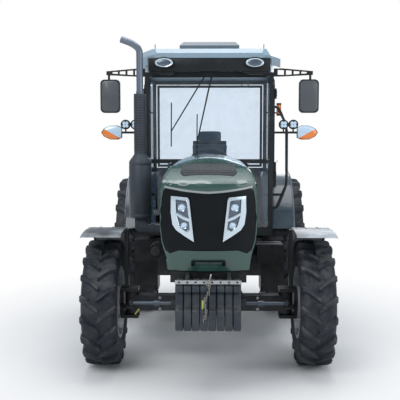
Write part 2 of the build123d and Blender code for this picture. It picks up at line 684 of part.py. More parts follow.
window_half = c_in - 8
window_low, window_high = waist_z, rail_low - 8
window_pivot_y, window_pivot_z = c_back + 16, rail_low - 20
rear_pin = 6.0
rear_frame = joined(
    cut(block((-window_half, window_half), (c_back - 22, c_back - 2), (window_low, window_high)),
        block((-window_half + 30, window_half - 30), (c_back - 30, c_back + 5),
              (window_low + 30, window_high - 30))),
    both_sides(cut(joined(
        rod((400, window_pivot_y, window_pivot_z), (460, window_pivot_y, window_pivot_z), 12),
        block((400, 460), (c_back - 4, window_pivot_y), (window_pivot_z - 12, window_pivot_z)),
    ), rod((390, window_pivot_y, window_pivot_z), (470, window_pivot_y, window_pivot_z),
           rear_pin + running))),
    block((-60, 60), (c_back - 4, c_back + 20), (window_low + 6, window_low + 24)),
)
write("rear_window_frame", rear_frame)
write("rear_window_glass", block((-window_half + 30 + fit, window_half - 30 - fit), (c_back - 15, c_back - 9),
                                 (window_low + 30 + fit, window_high - 30 - fit)))
window_hinges = joined(
    rod((384, window_pivot_y, window_pivot_z), (476, window_pivot_y, window_pivot_z), rear_pin),
    block((384, 393), (window_pivot_y - 10, window_pivot_y + 10), (window_pivot_z - 10, rail_high)),
    block((467, 476), (window_pivot_y - 10, window_pivot_y + 10), (window_pivot_z - 10, rail_high)),
    block((384, 476), (c_back + fit, window_pivot_y + 10), (rail_low + 12, rail_high)),
)

# ---- roof ----------------------------------------------------------------------------------
roof_plan = [(0, -70), (560, -70), (634, 0), (764, 360), (764, 1250), (690, 1540), (0, 1540)]
roof_low, roof_high = 2815.0, 2980.0
visor_low, visor_high = 2771.0, 2881.0
hatch_half, hatch_front, hatch_back = 315.0, 180.0, 820.0
opening = block((-260, 260), (240, 760), (rail_low, roof_high + 120))
roof_block = plate_xy(roof_plan, roof_low, roof_high)
with BuildPart() as roof_shape:
    add(roof_block)
    mirror(about=Plane.YZ)
    chamfer(roof_shape.edges().group_by(Axis.Z)[-1], 50, 70)
liner = plate_xy([(-640, a_front), (640, a_front), (712, b_front), (664, c_back), (-664, c_back)]
                 + [(-712, b_front)], rail_high + fit, roof_low)
write("cab_roof", cut(
    joined(roof_shape.part, liner,
           cut(block((-285, 285), (215, 785), (roof_high - 5, roof_high + 14)), opening)),
    opening,
    block((-800, 800), (-100, 40), (2700, visor_high)),
))
write("roof_visor", joined(
    block((-628, 628), (-66, 40 - fit), (visor_low, visor_high - fit)),
    both_sides(block((330, 600), (-84, -60), (visor_low + 5, visor_high - 8))),
))
hatch_pivot_y, hatch_pivot_z, hatch_pin = hatch_back + 24, roof_high + 24, 6.0
with BuildPart() as hatch_lid:
    add(block((-hatch_half, hatch_half), (hatch_front, hatch_back), (roof_high + 6, roof_high + 94)))
    chamfer(hatch_lid.edges().group_by(Axis.Z)[-1], 40)
    add(block((-hatch_half + 20, hatch_half - 20), (hatch_front + 20, hatch_back - 20),
              (roof_high, roof_high + 22)), mode=Mode.SUBTRACT)
write("roof_hatch", joined(
    hatch_lid.part,
    both_sides(cut(joined(
        rod((180, hatch_pivot_y, hatch_pivot_z), (240, hatch_pivot_y, hatch_pivot_z), 12),
        block((180, 240), (hatch_back - 10, hatch_pivot_y), (hatch_pivot_z - 12, hatch_pivot_z + 12)),
    ), rod((170, hatch_pivot_y, hatch_pivot_z), (250, hatch_pivot_y, hatch_pivot_z),
           hatch_pin + running))),
))
hatch_hinges = joined(
    rod((164, hatch_pivot_y, hatch_pivot_z), (256, hatch_pivot_y, hatch_pivot_z), hatch_pin),
    block((164, 173), (hatch_pivot_y - 10, hatch_pivot_y + 10), (roof_high + fit, hatch_pivot_z + 10)),
    block((247, 256), (hatch_pivot_y - 10, hatch_pivot_y + 10), (roof_high + fit, hatch_pivot_z + 10)),
)
write("cab_hinges", both_sides(joined(door_hinges, window_hinges, hatch_hinges)))


def slab_ellipse(center, half, y):
    """An oval plate facing forwards, half widths along X and Z."""
    with BuildPart() as plate:
        with BuildSketch(Plane((center[0], y[0], center[1]), x_dir=(1, 0, 0), z_dir=(0, 1, 0))):
            Ellipse(*half)
        extrude(amount=y[1] - y[0])
    return plate.part


roof_lamps = slab_ellipse((465, 2828), (84, 42), (-98, -84 - fit))

# ---- mirrors, lamps, rails, wipers ---------------------------------------------------------
mirror_y = 30.0
arm = cut(
    plate_xz([(a_out + fit, 2700), (a_out + fit, 2784), (760, 2784), (1078, 2756), (1078, 2716), (760, 2700)],
             66, 90),
    plate_xz([(712, 2718), (712, 2768), (778, 2766), (778, 2716)], 50, 110),
    plate_xz([(798, 2717), (798, 2765), (858, 2760), (858, 2721)], 50, 110),
    plate_xz([(878, 2723), (878, 2758), (938, 2753), (938, 2727)], 50, 110),
    plate_xz([(958, 2729), (958, 2751), (1014, 2747), (1014, 2732)], 50, 110),
)
with BuildPart() as mirror_head:
    add(block((932, 1138), (mirror_y, mirror_y + 42), (2322, 2668)))
    fillet(mirror_head.edges().filter_by(Axis.Y), 45)
write("mirrors", both_sides(joined(
    arm,
    mirror_head.part,
    rod((1052, 78, 2730), (1052, 78, 2500), 12),
    block((1040, 1064), (mirror_y + 40, 80), (2480, 2510)),
)))
bar_z, bar_y = 2118.0, -30.0
bar_radius = 11.0
rails = pipe([(a_out + fit, 84, bar_z), (725, 84, bar_z), (745, bar_y, bar_z), (906, bar_y, bar_z)],
             bar_radius, 15)
grab_rail = pipe([(a_out + fit, 84, 2385), (712, 84, 2385), (806, 60, 2200), (812, 60, 1574)]
                 + [(712, 84, 1330), (a_out + fit, 84, 1330)], 13, 25)
write("lamp_rails", joined(both_sides(rails), grab_rail))
work_lamp = joined(*[
    piece for x in (768, 868) for piece in (
        rod((x, bar_y - 30, bar_z + 82), (x, bar_y + 16, bar_z + 82), 50),
        rod((x, bar_y, bar_z + bar_radius + fit), (x, bar_y, bar_z + 40), 8),
    )
])
write("work_lamps", both_sides(joined(work_lamp, roof_lamps)))
corner_outline = [(907, 2064), (907, 2168), (950, 2190), (1030, 2188), (1092, 2160), (1122, 2118)]
corner_outline += [(1092, 2076), (1030, 2046), (950, 2044)]
write("corner_lamps", both_sides(plate_xz(corner_outline, bar_y - 30, bar_y + 30)))
side_lamp = joined(
    rod((850, 1500, 2325), (850, 1500, 2480), 30),
    pipe([(c_out + fit, 1425, 2360), (740, 1425, 2360), (850, 1500, 2360)], 9, 15),
)
tail_lamp = cut(block((780, 920), (rear_axle_y + 740, rear_axle_y + 835), (floor_z + 35, floor_z + 130)),
                arch(arch_radius + fit, 700, 1000))
write("rear_lamps", both_sides(joined(side_lamp, tail_lamp)))
wiper_table = [  # hub x, tip x, tip z
    (-30, -400, 2130),
    (30, -130, 2010),
]
wiper_parts = [block((-70, 70), (38, a_front - fit), (2702, 2742))]
for hub_x, tip_x, tip_z in wiper_table:
    wiper_parts.append(plate_xz([(hub_x - 9, 2735), (hub_x + 9, 2735), (tip_x + 7, tip_z), (tip_x - 7, tip_z)],
                                44, 54))
    wiper_parts.append(block((tip_x - 6, tip_x + 6), (50, 76), (tip_z - 4, tip_z + 24)))
    wiper_parts.append(plate_xz([(tip_x - 8, tip_z - 160), (tip_x + 4, tip_z - 160)]
                                + [(tip_x + 8, tip_z + 300), (tip_x - 4, tip_z + 300)], 72, screen_y - fit))
write("wipers", joined(*wiper_parts))

# ---- inside the cab ------------------------------------------------------------------------
seat_y = 760.0
with BuildPart() as seat:
    add(block((-250, 250), (seat_y - 60, seat_y + 440), (1450, 1570)))
    add(block((-235, 235), (seat_y + 350, seat_y + 450), (1560, 2150)))
    fillet(seat.edges().filter_by(Axis.Y).group_by(Axis.Z)[-1], 60)
write("seat", seat.part)
seat_base = joined(
    block((-170, 170), (seat_y + 20, seat_y + 320), (floor_z + fit, 1390)),
    block((-215, 215), (seat_y - 20, seat_y + 400), (1390, 1450 - fit)),
    both_sides(block((250 + fit, 262), (seat_y + 300, seat_y + 360), (1400, 1740))),
    both_sides(block((200, 262), (seat_y + 300, seat_y + 360), (1392, 1425))),
    both_sides(block((250 + fit, 312), (seat_y + 40, seat_y + 370), (1720, 1755))),
)
console_back = 330.0
steering_console = joined(
    block((-95, 95), (a_front + 20 + fit, console_back), (floor_z + fit, 1620)),
    plate_yz([(a_front + 32, 1600), (console_back + 30, 1600), (console_back + 60, 1680)]
             + [(a_front + 60, 1790), (a_front + 32, 1790)], -190, 190),
)
wheel_plane = Plane(origin=(0, 440, 1830), x_dir=(1, 0, 0), z_dir=(0, 0.574, 0.819))
with BuildPart() as steering_wheel:
    with BuildSketch(Plane.XZ):
        with Locations((190, 0)):
            RegularPolygon(15, 8)
    revolve(axis=Axis.Z)
    Cylinder(42, 24)
    for turn in (90, 210, 330):
        add(block((25, 185), (-17, 17), (-6, 6)).rotate(Axis.Z, turn))
    with Locations((0, 0, -100)):
        Cylinder(22, 180)
side_console = joined(
    block((-560, -345), (640, 1240), (floor_z + fit, 1560)),
    rod((-450, 720, 1550), (-450, 700, 1700), 12),
    rod((-450, 700, 1695), (-450, 690, 1765), 26),
)
write("controls", joined(
    seat_base, steering_console, side_console, steering_wheel.part.moved(wheel_plane.location),
))

# ---- rear linkage and drawbar --------------------------------------------------------------
hitch_y = axle_back_y + fit
hitch_back = hitch_y + 60
link_y, link_z, link_pin = hitch_back + 45, 500.0, 14.0
link_end_radius = 40.0
link_end_y, link_end_z = length / 2 - link_end_radius, 560.0
link_ball_bore = 14.35
lift_y, lift_z, lift_pin = hitch_y + 35, 955.0, 22.0
top_y, top_z, top_pin = hitch_back + 40, 880.0, 12.5
top_end_y, top_end_z = rear_axle_y + 830, 850.0
write("hitch_frame", joined(
    block((-180, 180), (hitch_y, hitch_back), (430, 998)),
    both_sides(block((150, 190), (hitch_back - 5, link_y + 30), (link_z - 40, link_z + 40))),
    both_sides(rod((180, link_y, link_z), (246, link_y, link_z), link_pin)),
    both_sides(rod((240, link_y, link_z), (252, link_y, link_z), 24)),
    both_sides(rod((170, lift_y, lift_z), (296, lift_y, lift_z), lift_pin)),
    both_sides(block((31, 45), (hitch_back - 5, top_y + 28), (top_z - 34, top_z + 34))),
    rod((-50, top_y, top_z), (50, top_y, top_z), top_pin),
    rod((0, hitch_back - 5, 640), (0, hitch_back + 24, 640), 62),
    rod((0, hitch_back + 20, 640), (0, hitch_back + 100, 640), 17.5),
))
drawbar_z, drawbar_pin_y, drawbar_hole = 400.0, rear_axle_y + 680, 16.5
write("drawbar", cut(
    joined(
        block((-45, 45), (rear_axle_y, drawbar_pin_y + 45), (drawbar_z - 20, drawbar_z + 20)),
        block((-90, 90), (rear_axle_y + 20, rear_axle_y + 80), (drawbar_z - 30, 520 - fit)),
        block((-90, 90), (rear_axle_y + 170, rear_axle_y + 230), (drawbar_z - 30, 520 - fit)),
    ),
    rod((0, drawbar_pin_y, drawbar_z - 40), (0, drawbar_pin_y, drawbar_z + 40), drawbar_hole),
))
link_x, link_end_x = 213.0, 410.0
lower_link = cut(
    joined(
        rod((link_x - 17, link_y, link_z), (link_x + 17, link_y, link_z), 32),
        rod((link_end_x - 22, link_end_y, link_end_z), (link_end_x + 22, link_end_y, link_end_z),
            link_end_radius),
        rod((link_x + 6, link_y + 18, link_z + 3), (link_end_x, link_end_y - 26, link_end_z - 3), 18),
    ),
    rod((link_x - 30, link_y, link_z), (link_x + 30, link_y, link_z), link_pin + running),
    rod((link_end_x - 40, link_end_y, link_end_z), (link_end_x + 40, link_end_y, link_end_z),
        link_ball_bore),
)
write("lower_links", both_sides(lower_link))
rod_x, rod_y, rod_foot = 232.0, rear_axle_y + 540, 578.0
lift_arm = cut(
    joined(
        rod((rod_x + 24, lift_y, lift_z), (rod_x + 56, lift_y, lift_z), 44),
        rod((rod_x + 30, lift_y, lift_z), (rod_x + 14, rod_y, lift_z + 30), 20),
        rod((rod_x - 4, rod_y, lift_z + 30), (rod_x + 30, rod_y, lift_z + 30), 24),
        rod((rod_x, rod_y, lift_z + 30), (rod_x, rod_y, rod_foot), 12),
        rod((rod_x, rod_y, rod_foot + 120), (rod_x, rod_y, rod_foot + 280), 20),
        rod((rod_x - 10, rod_y, rod_foot), (rod_x + 10, rod_y, rod_foot), 22),
    ),
    rod((rod_x, lift_y, lift_z), (rod_x + 80, lift_y, lift_z), lift_pin + running),
)
write("lift_arms", both_sides(lift_arm))
write("top_link", cut(
    joined(
        rod((-26, top_y, top_z), (26, top_y, top_z), 27),
        rod((-22, top_end_y, top_end_z), (22, top_end_y, top_end_z), 32),
        rod((0, top_y + 15, top_z), (0, top_end_y - 15, top_end_z), 15),
        rod((0, top_y + 120, top_z - 8), (0, top_end_y - 120, top_end_z + 8), 22),
    ),
    rod((-40, top_y, top_z), (40, top_y, top_z), top_pin + running),
    rod((-40, top_end_y, top_end_z), (40, top_end_y, top_end_z), 12.75),
))
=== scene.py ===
"""The farm tractor dressed for rendering, from its castings up to its lamps, in metres."""

import math

import bpy
from mathutils import Matrix, Vector


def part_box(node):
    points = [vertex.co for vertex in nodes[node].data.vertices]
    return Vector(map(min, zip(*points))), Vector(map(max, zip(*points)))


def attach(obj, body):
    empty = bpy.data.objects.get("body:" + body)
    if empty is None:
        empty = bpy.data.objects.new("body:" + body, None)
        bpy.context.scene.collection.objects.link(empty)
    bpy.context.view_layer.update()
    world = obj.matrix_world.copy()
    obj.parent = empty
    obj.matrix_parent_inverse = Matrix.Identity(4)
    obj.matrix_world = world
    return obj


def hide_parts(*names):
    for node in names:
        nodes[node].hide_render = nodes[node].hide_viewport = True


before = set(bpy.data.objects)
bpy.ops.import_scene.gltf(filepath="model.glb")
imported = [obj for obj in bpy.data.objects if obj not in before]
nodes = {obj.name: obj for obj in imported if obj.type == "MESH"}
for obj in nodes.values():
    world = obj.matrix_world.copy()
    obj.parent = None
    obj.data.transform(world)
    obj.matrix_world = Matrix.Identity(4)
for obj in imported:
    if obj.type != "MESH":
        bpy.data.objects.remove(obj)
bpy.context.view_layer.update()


# ---- castings ------------------------------------------------------------------------------
# The front frame, engine, gearbox and rear axle are grey iron castings, sprayed in one coat
# after they are bolted together. Dust lies on what faces up, and the cast skin stays rough.
def new_group(name, inputs, outputs):
    """An empty shader node group with named sockets, and its input and output nodes."""
    group = bpy.data.node_groups.new(name, "ShaderNodeTree")
    for label, kind, value in inputs:
        socket = group.interface.new_socket(label, in_out="INPUT", socket_type=kind)
        socket.default_value = value
    for label, kind in outputs:
        group.interface.new_socket(label, in_out="OUTPUT", socket_type=kind)
    return group, group.nodes.new("NodeGroupInput"), group.nodes.new("NodeGroupOutput")


def connect(tree, node, links):
    """Links a node's inputs to the outputs of others, or sets them to plain values."""
    for index, source in links:
        if hasattr(source, "is_linked"):
            tree.links.new(source, node.inputs[index])
        else:
            node.inputs[index].default_value = source


def add_node(tree, kind, links=(), **values):
    """A node with its properties set by name and its inputs connected."""
    node = tree.nodes.new("ShaderNode" + kind)
    for key, value in values.items():
        setattr(node, key, value)
    connect(tree, node, links)
    return node


def new_material(name):
    """A fresh material, with its node tree and its shader."""
    made = bpy.data.materials.new(name)
    made.use_nodes = True
    return made, made.node_tree, made.node_tree.nodes["Principled BSDF"]


FLOAT, COLOUR = "NodeSocketFloat", "NodeSocketColor"


def dust_and_sheen_group():
    """Field dust, and painted sky reflection where it is given a pale blue: patches of colour, thicker on
    what faces up, that dull the finish.
    """
    group, given, out = new_group(
        "field_dust_and_sheen",
        [("Colour", COLOUR, (0.1, 0.1, 0.1, 1)), ("Dust_and_sheen", COLOUR, (0.30, 0.29, 0.27, 1)),
         ("Amount", FLOAT, 0.2), ("Roughness", FLOAT, 0.5), ("Size", FLOAT, 6.0)],
        [("Colour", COLOUR), ("Roughness", FLOAT)],
    )
    where = add_node(group, "TexCoord")
    patches = add_node(group, "TexNoise", [("Vector", where.outputs["Object"]),
                       ("Scale", given.outputs["Size"]), ("Detail", 8.0), ("Roughness", 0.62)])
    spread = add_node(group, "MapRange", [(0, patches.outputs[0]), (1, 0.40), (2, 0.72)])
    facing = add_node(group, "SeparateXYZ", [(0, where.outputs["Normal"])])
    upward = add_node(group, "MapRange", [(0, facing.outputs[2]), (1, -0.2), (2, 1.0),
                      (3, 0.25), (4, 1.0)])
    mask = add_node(group, "Math", [(0, spread.outputs[0]), (1, upward.outputs[0])],
                    operation="MULTIPLY")
    share = add_node(group, "Math", [(0, mask.outputs[0]), (1, given.outputs["Amount"])],
                     operation="MULTIPLY")
    mixed = add_node(group, "Mix", [(0, share.outputs[0]), (6, given.outputs["Colour"]),
                     (7, given.outputs["Dust_and_sheen"])], data_type="RGBA")
    dulled = add_node(group, "Math", [(0, share.outputs[0]), (1, 0.45),
                      (2, given.outputs["Roughness"])], operation="MULTIPLY_ADD")
    connect(group, out, [(0, mixed.outputs[2]), (1, dulled.outputs[0])])
    return group


def skin_group():
    """The fine relief of a surface: broad ripples of a casting or moulding, and its grain."""
    group, given, out = new_group(
        "surface_skin",
        [("Grain", FLOAT, 400.0), ("Ripple", FLOAT, 30.0), ("Share", FLOAT, 0.5)],
        [("Height", FLOAT)],
    )
    where = add_node(group, "TexCoord")
    grain = add_node(group, "TexNoise", [("Vector", where.outputs["Object"]),
                     ("Scale", given.outputs["Grain"]), ("Detail", 3.0)])
    ripple = add_node(group, "TexNoise", [("Vector", where.outputs["Object"]),
                      ("Scale", given.outputs["Ripple"]), ("Detail", 4.0)])
    height = add_node(group, "Mix", [(0, given.outputs["Share"]),
                      (2, grain.outputs[0]), (3, ripple.outputs[0])])
    connect(group, out, [(0, height.outputs[0])])
    return group


DUST_AND_SHEEN, SKIN = dust_and_sheen_group(), skin_group()


def finish(name, colour, roughness, metallic=0.0, coat=0.0, dust=0.25, grain=400.0, ripple=30.0,
           share=0.5, relief=0.15, depth=0.001, dust_and_sheen_size=6.0, shine=0.4,
           dust_and_sheen_colour=(0.30, 0.29, 0.27)):
    """A surface finish with a fine relief and a layer over its colour that is dust, and painted sky
    reflection where that colour is pale blue.
    """
    made, tree, shader = new_material(name)
    dust_and_sheen_layer = add_node(tree, "Group", [("Colour", (*colour, 1)), ("Dust_and_sheen", (*dust_and_sheen_colour, 1)),
                     ("Amount", dust), ("Roughness", roughness), ("Size", dust_and_sheen_size)], node_tree=DUST_AND_SHEEN)
    skin = add_node(tree, "Group", [("Grain", grain), ("Ripple", ripple), ("Share", share)],
                    node_tree=SKIN)
    bump = add_node(tree, "Bump", [("Strength", relief), ("Distance", depth),
                    ("Height", skin.outputs[0])])
    connect(tree, shader, [
        ("Base Color", dust_and_sheen_layer.outputs["Colour"]), ("Roughness", dust_and_sheen_layer.outputs["Roughness"]),
        ("Normal", bump.outputs[0]), ("Metallic", metallic), ("Specular IOR Level", shine),
        ("Coat Weight", coat), ("Coat Roughness", 0.06),
    ])
    return made


def paint_nodes(material, *names):
    """Gives CAD nodes their finish."""
    for name in names:
        for slot in nodes[name].material_slots:
            slot.material = material


cast_iron = finish("cast_iron_paint", (0.020, 0.022, 0.028), 0.55, dust=0.28, grain=260, ripple=18,
                   relief=0.35, depth=0.002, shine=0.3)
paint_nodes(cast_iron, "front_frame", "engine", "transmission", "rear_axle", "hitch_frame", "drawbar",
            "front_axle")
chassis_black = finish("chassis_black", (0.009, 0.010, 0.012), 0.42, dust=0.22, shine=0.3)
paint_nodes(chassis_black, "chin_panel", "knuckle_left", "knuckle_right")


# ---- wheels --------------------------------------------------------------------------------
# Each tyre is a black rubber carcass with curved lugs moulded on in two staggered rows. The rim
# is rolled steel with a dished disc, painted silver and held to its hub by eight bolts.
def select_only(*pieces):
    """Object mode, with these pieces selected and the last one active."""
    if bpy.context.object and bpy.context.object.mode != "OBJECT":
        bpy.ops.object.mode_set(mode="OBJECT")
    bpy.ops.object.select_all(action="DESELECT")
    for piece in pieces:
        piece.select_set(True)
        bpy.context.view_layer.objects.active = piece


def open_mesh(piece):
    """Edit mode on one piece, with all of it selected."""
    select_only(piece)
    bpy.ops.object.mode_set(mode="EDIT")
    bpy.ops.mesh.select_all(action="SELECT")


def close_mesh(merge=1e-5):
    """Merges doubles, turns the faces outwards and goes back to object mode."""
    bpy.ops.mesh.select_all(action="SELECT")
    bpy.ops.mesh.remove_doubles(threshold=merge)
    bpy.ops.mesh.normals_make_consistent(inside=False)
    bpy.ops.object.mode_set(mode="OBJECT")
    return bpy.context.object


def place_points(piece, points):
    """Puts a primitive's vertices, in their own order, at these points."""
    piece.data.vertices.foreach_set("co", [c for point in points for c in point])
    piece.data.update()


def angles(count, start=0.0, sweep=2 * math.pi):
    """Evenly spaced angles through a sweep, whose end is left out."""
    return [start + sweep * i / count for i in range(count)]


def turned(profile, center, axis="X", steps=64):
    """A solid of revolution: a closed loop of (along the axis, radius), spun about an axis."""
    cx, cy, cz = center
    place = {"X": lambda a, r: (cx + a, cy, cz + r), "Y": lambda a, r: (cx, cy + a, cz + r),
             "Z": lambda a, r: (cx + r, cy, cz + a)}[axis]
    select_only()
    bpy.ops.mesh.primitive_circle_add(vertices=len(profile), fill_type="NOTHING")
    piece = bpy.context.object
    place_points(piece, [place(a, r) for a, r in profile])
    open_mesh(piece)
    direction = {"X": (1, 0, 0), "Y": (0, 1, 0), "Z": (0, 0, 1)}[axis]
    bpy.ops.mesh.spin(steps=steps, angle=2 * math.pi, center=center, axis=direction)
    return close_mesh()


def sheet_of(rows, closed=False):
    """An open sheet through rows of points, where a closed row comes back to its start."""
    if closed:
        rows = [(*row, row[0]) for row in rows]
    select_only()
    bpy.ops.mesh.primitive_grid_add(x_subdivisions=len(rows[0]) - 1, y_subdivisions=len(rows) - 1)
    piece = bpy.context.object
    place_points(piece, [point for row in rows for point in row])
    return piece


def skinned(rings):
    """A closed solid through rings of points."""
    open_mesh(sheet_of(rings, closed=True))
    bpy.ops.mesh.remove_doubles(threshold=1e-5)
    bpy.ops.mesh.fill_holes(sides=0)
    return close_mesh()


def plate(outline, plane, low, high, bevel=0.0, segments=2):
    """A flat plate from its outline in the XZ, YZ or XY plane, with softened edges."""
    put = {"XZ": lambda a, b: (a, low, b), "YZ": lambda a, b: (low, a, b),
           "XY": lambda a, b: (a, b, low)}[plane]
    along = {"XZ": (0, high - low, 0), "YZ": (high - low, 0, 0), "XY": (0, 0, high - low)}[plane]
    select_only()
    bpy.ops.mesh.primitive_circle_add(vertices=len(outline), fill_type="NGON")
    piece = bpy.context.object
    place_points(piece, [put(a, b) for a, b in outline])
    open_mesh(piece)
    bpy.ops.mesh.extrude_region_move(TRANSFORM_OT_translate={"value": along})
    if bevel:
        bpy.ops.mesh.select_all(action="SELECT")
        bpy.ops.mesh.normals_make_consistent(inside=False)
        bpy.ops.mesh.bevel(offset=bevel, segments=segments, affect="EDGES", clamp_overlap=True)
    return close_mesh()


def modified(piece, kind, **values):
    """A piece with one modifier set up by name and applied."""
    select_only(piece)
    modifier = piece.modifiers.new(kind.lower(), kind)
    for key, value in values.items():
        setattr(modifier, key, value)
    bpy.ops.object.modifier_apply(modifier=modifier.name)
    return piece


def cuboid(x, y, z, bevel=0.003, segments=2):
    """A block between pairs of planes, with rounded edges."""
    select_only()
    low, high = zip(x, y, z)
    bpy.ops.mesh.primitive_cube_add(size=1, location=[(a + b) / 2 for a, b in zip(low, high)],
                                    scale=[b - a for a, b in zip(low, high)])
    piece = bpy.context.object
    bpy.ops.object.transform_apply(location=True, rotation=True, scale=True)
    if bevel:
        open_mesh(piece)
        bpy.ops.mesh.bevel(offset=bevel, segments=segments, affect="EDGES")
        close_mesh()
    return piece


def bar(start, end, radius, sides=20, bevel=0.0, tip=None):
    """A round or many-sided bar between two points, tapered where it has a tip radius."""
    start, end = Vector(start), Vector(end)
    turn = (end - start).to_track_quat("Z", "Y").to_euler()
    select_only()
    bpy.ops.mesh.primitive_cone_add(vertices=sides, radius1=radius, radius2=radius if tip is None else tip,
                                    depth=(end - start).length, location=(start + end) / 2,
                                    rotation=turn)
    piece = bpy.context.object
    bpy.ops.object.transform_apply(location=True, rotation=True, scale=True)
    return modified(piece, "BEVEL", width=bevel, limit_method="ANGLE") if bevel else piece


def copied(piece, move=(0, 0, 0), turn=0.0, axis="X", center=(0, 0, 0), mirror_x=False):
    """A copy of a piece with a mesh of its own, moved, turned about an axis or mirrored in X."""
    twin = piece.copy()
    twin.data = piece.data.copy()
    bpy.context.scene.collection.objects.link(twin)
    middle = Matrix.Translation(center)
    twin.data.transform(Matrix.Translation(move) @ middle @ Matrix.Rotation(turn, 4, axis)
                        @ middle.inverted())
    if mirror_x:
        twin.data.transform(Matrix.Scale(-1, 4, (1, 0, 0)))
        twin.data.flip_normals()
    return twin


def joined(pieces):
    """One object from several."""
    select_only(*pieces)
    bpy.ops.object.join()
    return bpy.context.object


def ring_of(piece, count, center, axis="X", start=0.0):
    """A piece repeated round an axis."""
    turns = [copied(piece, turn=a, axis=axis, center=center) for a in angles(count, start)]
    bpy.data.objects.remove(piece)
    return joined(turns)


def fitted(piece, name, body, material, smooth=35, replaces=()):
    """Names a finished piece, smooths it and gives it its body and finish."""
    select_only(piece)
    piece.name = name
    piece.data.name = name
    bpy.ops.object.shade_smooth_by_angle(angle=math.radians(smooth))
    piece.data.materials.clear()
    piece.data.materials.append(material)
    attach(piece, body)
    if replaces:
        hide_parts(*replaces)
    return piece


SIDES = (("left", 1), ("right", -1))


def both(piece, name, body, material, smooth=35, replaces=()):
    """Fits a left piece and its mirror image, where {} in a body or node stands for the side."""
    return [fitted(thing, f"{name}_{side}", body.format(side), material, smooth,
                   [node.format(side) for node in replaces])
            for thing, (side, _) in zip((piece, copied(piece, mirror_x=True)), SIDES)]


rubber = finish("tyre_rubber", (0.016, 0.021, 0.030), 0.62, dust=0.42, grain=180, ripple=26,
                relief=0.25, dust_and_sheen_size=9.0, shine=0.3)
rim_paint = finish("rim_paint", (0.36, 0.38, 0.41), 0.38, metallic=0.3, dust=0.35)
bolt_steel = finish("bolt_steel", (0.30, 0.31, 0.33), 0.35, metallic=0.9, dust=0.3)
LUG_HEIGHT = 0.038


def lug_rings(radius, half, scale):
    """Sections of one lug from the middle of the tread over the shoulder to the side wall."""
    # Share of the half width, shift round the tyre, drop below the tread's crown, half thickness.
    stations = [(-0.05, -0.064, 0.000, 0.010), (-0.02, -0.060, 0.000, 0.014),
                (0.10, -0.047, 0.000, 0.015), (0.26, -0.026, 0.001, 0.015),
                (0.44, -0.004, 0.002, 0.015), (0.62, 0.015, 0.004, 0.016), (0.80, 0.030, 0.007, 0.017),
                (0.92, 0.038, 0.014, 0.019), (0.985, 0.042, 0.034, 0.020), (0.99, 0.044, 0.070, 0.017),
                (0.965, 0.045, 0.105, 0.012)]
    rings = []
    for share, shift, drop, thick in stations:
        x, shift, thick = share * half, shift * scale, thick * scale
        over = min(1.0, drop / 0.07)
        crown = math.sqrt(radius**2 - (abs(shift) + thick) ** 2) - drop
        foot_x = x - over * 0.035
        foot = crown - (LUG_HEIGHT + 0.006) * (1 - over) - 0.004
        rings.append([(foot_x, shift - thick * 2.0, foot), (x, shift - thick * 1.15, crown - 0.004),
                      (x, shift - thick * 0.95, crown), (x, shift + thick * 0.95, crown),
                      (x, shift + thick * 1.15, crown - 0.004), (foot_x, shift + thick * 2.0, foot)])
    return rings


def tyre(radius, width, rim_radius, lugs, center):
    """A whole tyre round its wheel's middle."""
    half = width / 2
    tread, side = radius - LUG_HEIGHT, (rim_radius + radius) / 2
    cx, cy, cz = center
    wall = [(half - 0.028, rim_radius + 0.002), (half - 0.028, rim_radius + 0.020),
            (half - 0.018, rim_radius + 0.038), (half - 0.006, rim_radius + 0.070),
            (half - 0.0015, side - 0.02), (half - 0.002, side + 0.02), (half - 0.012, tread - 0.045),
            (half - 0.022, tread - 0.018), (half - 0.042, tread - 0.004), (half * 0.5, tread)]
    profile = wall + [(-x, r) for x, r in reversed(wall)]
    carcass = turned(profile, center, "X", 72)
    one = skinned([[(cx + x, cy + y, cz + z) for x, y, z in ring]
                   for ring in lug_rings(radius, half, radius / 0.57)])
    other = copied(one, mirror_x=True)
    other.data.transform(Matrix.Translation((2 * cx, 0, 0)))
    rows = [ring_of(one, lugs, center), ring_of(other, lugs, center, start=math.pi / lugs)]
    rings = turned([(half - 0.004, rim_radius + 0.080), (half - 0.0008, rim_radius + 0.083),
                    (half - 0.003, rim_radius + 0.086)], center, "X", 72)
    return joined([carcass, *rows, rings])


for end, lugs, rim_radius in (("front", 18, 0.305), ("rear", 20, 0.432)):
    low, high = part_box(f"tyre_{end}_left")
    center = (low + high) / 2
    made = tyre((high.z - low.z) / 2, high.x - low.x, rim_radius, lugs, tuple(center))
    both(made, f"tyre_{end}", f"{end}_{{}}_wheel", rubber, 40, [f"tyre_{end}_{{}}"])
paint_nodes(rim_paint, "rim_front_left", "rim_front_right", "rim_rear_left", "rim_rear_right")


def hexes(places, along, size, height, body, name):
    """Hexagon bolt heads on their washers, standing on one axis at each place."""
    heads = []
    step = Vector(along)
    for place in places:
        foot = Vector(place)
        heads.append(bar(foot, foot + step * height * 0.25, size * 1.25, 20))
        heads.append(bar(foot + step * height * 0.2, foot + step * height, size, 6, bevel=size * 0.12))
        heads.append(bar(foot + step * height * 0.9, foot + step * height * 1.5, size * 0.5, 12,
                         bevel=size * 0.1))
    return fitted(joined(heads), name, body, bolt_steel, 30)


# End, circle of the nuts, nut size, seat outward of the wheel's middle plane, valve's height.
RIMS = [("front", 0.104, 0.013, 0.110, 0.25), ("rear", 0.118, 0.015, -0.096, 0.37)]
for end, circle, size, seat, stem in RIMS:
    for side, sign in SIDES:
        low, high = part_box(f"tyre_{end}_{side}")
        middle = (low + high) / 2
        ring = [(middle.x + sign * seat, middle.y + circle * math.cos(a), middle.z + circle * math.sin(a))
                for a in angles(8)]
        hexes(ring, (sign, 0, 0), size, 0.022, f"{end}_{side}_wheel", f"nuts_{end}_{side}")
        valve = bar((middle.x + sign * (seat - 0.05), middle.y, middle.z + stem),
                    (middle.x + sign * (seat + 0.01), middle.y, middle.z + stem + 0.012), 0.005, 12,
                    bevel=0.001)
        fitted(valve, f"valve_{end}_{side}", f"{end}_{side}_wheel", bolt_steel)
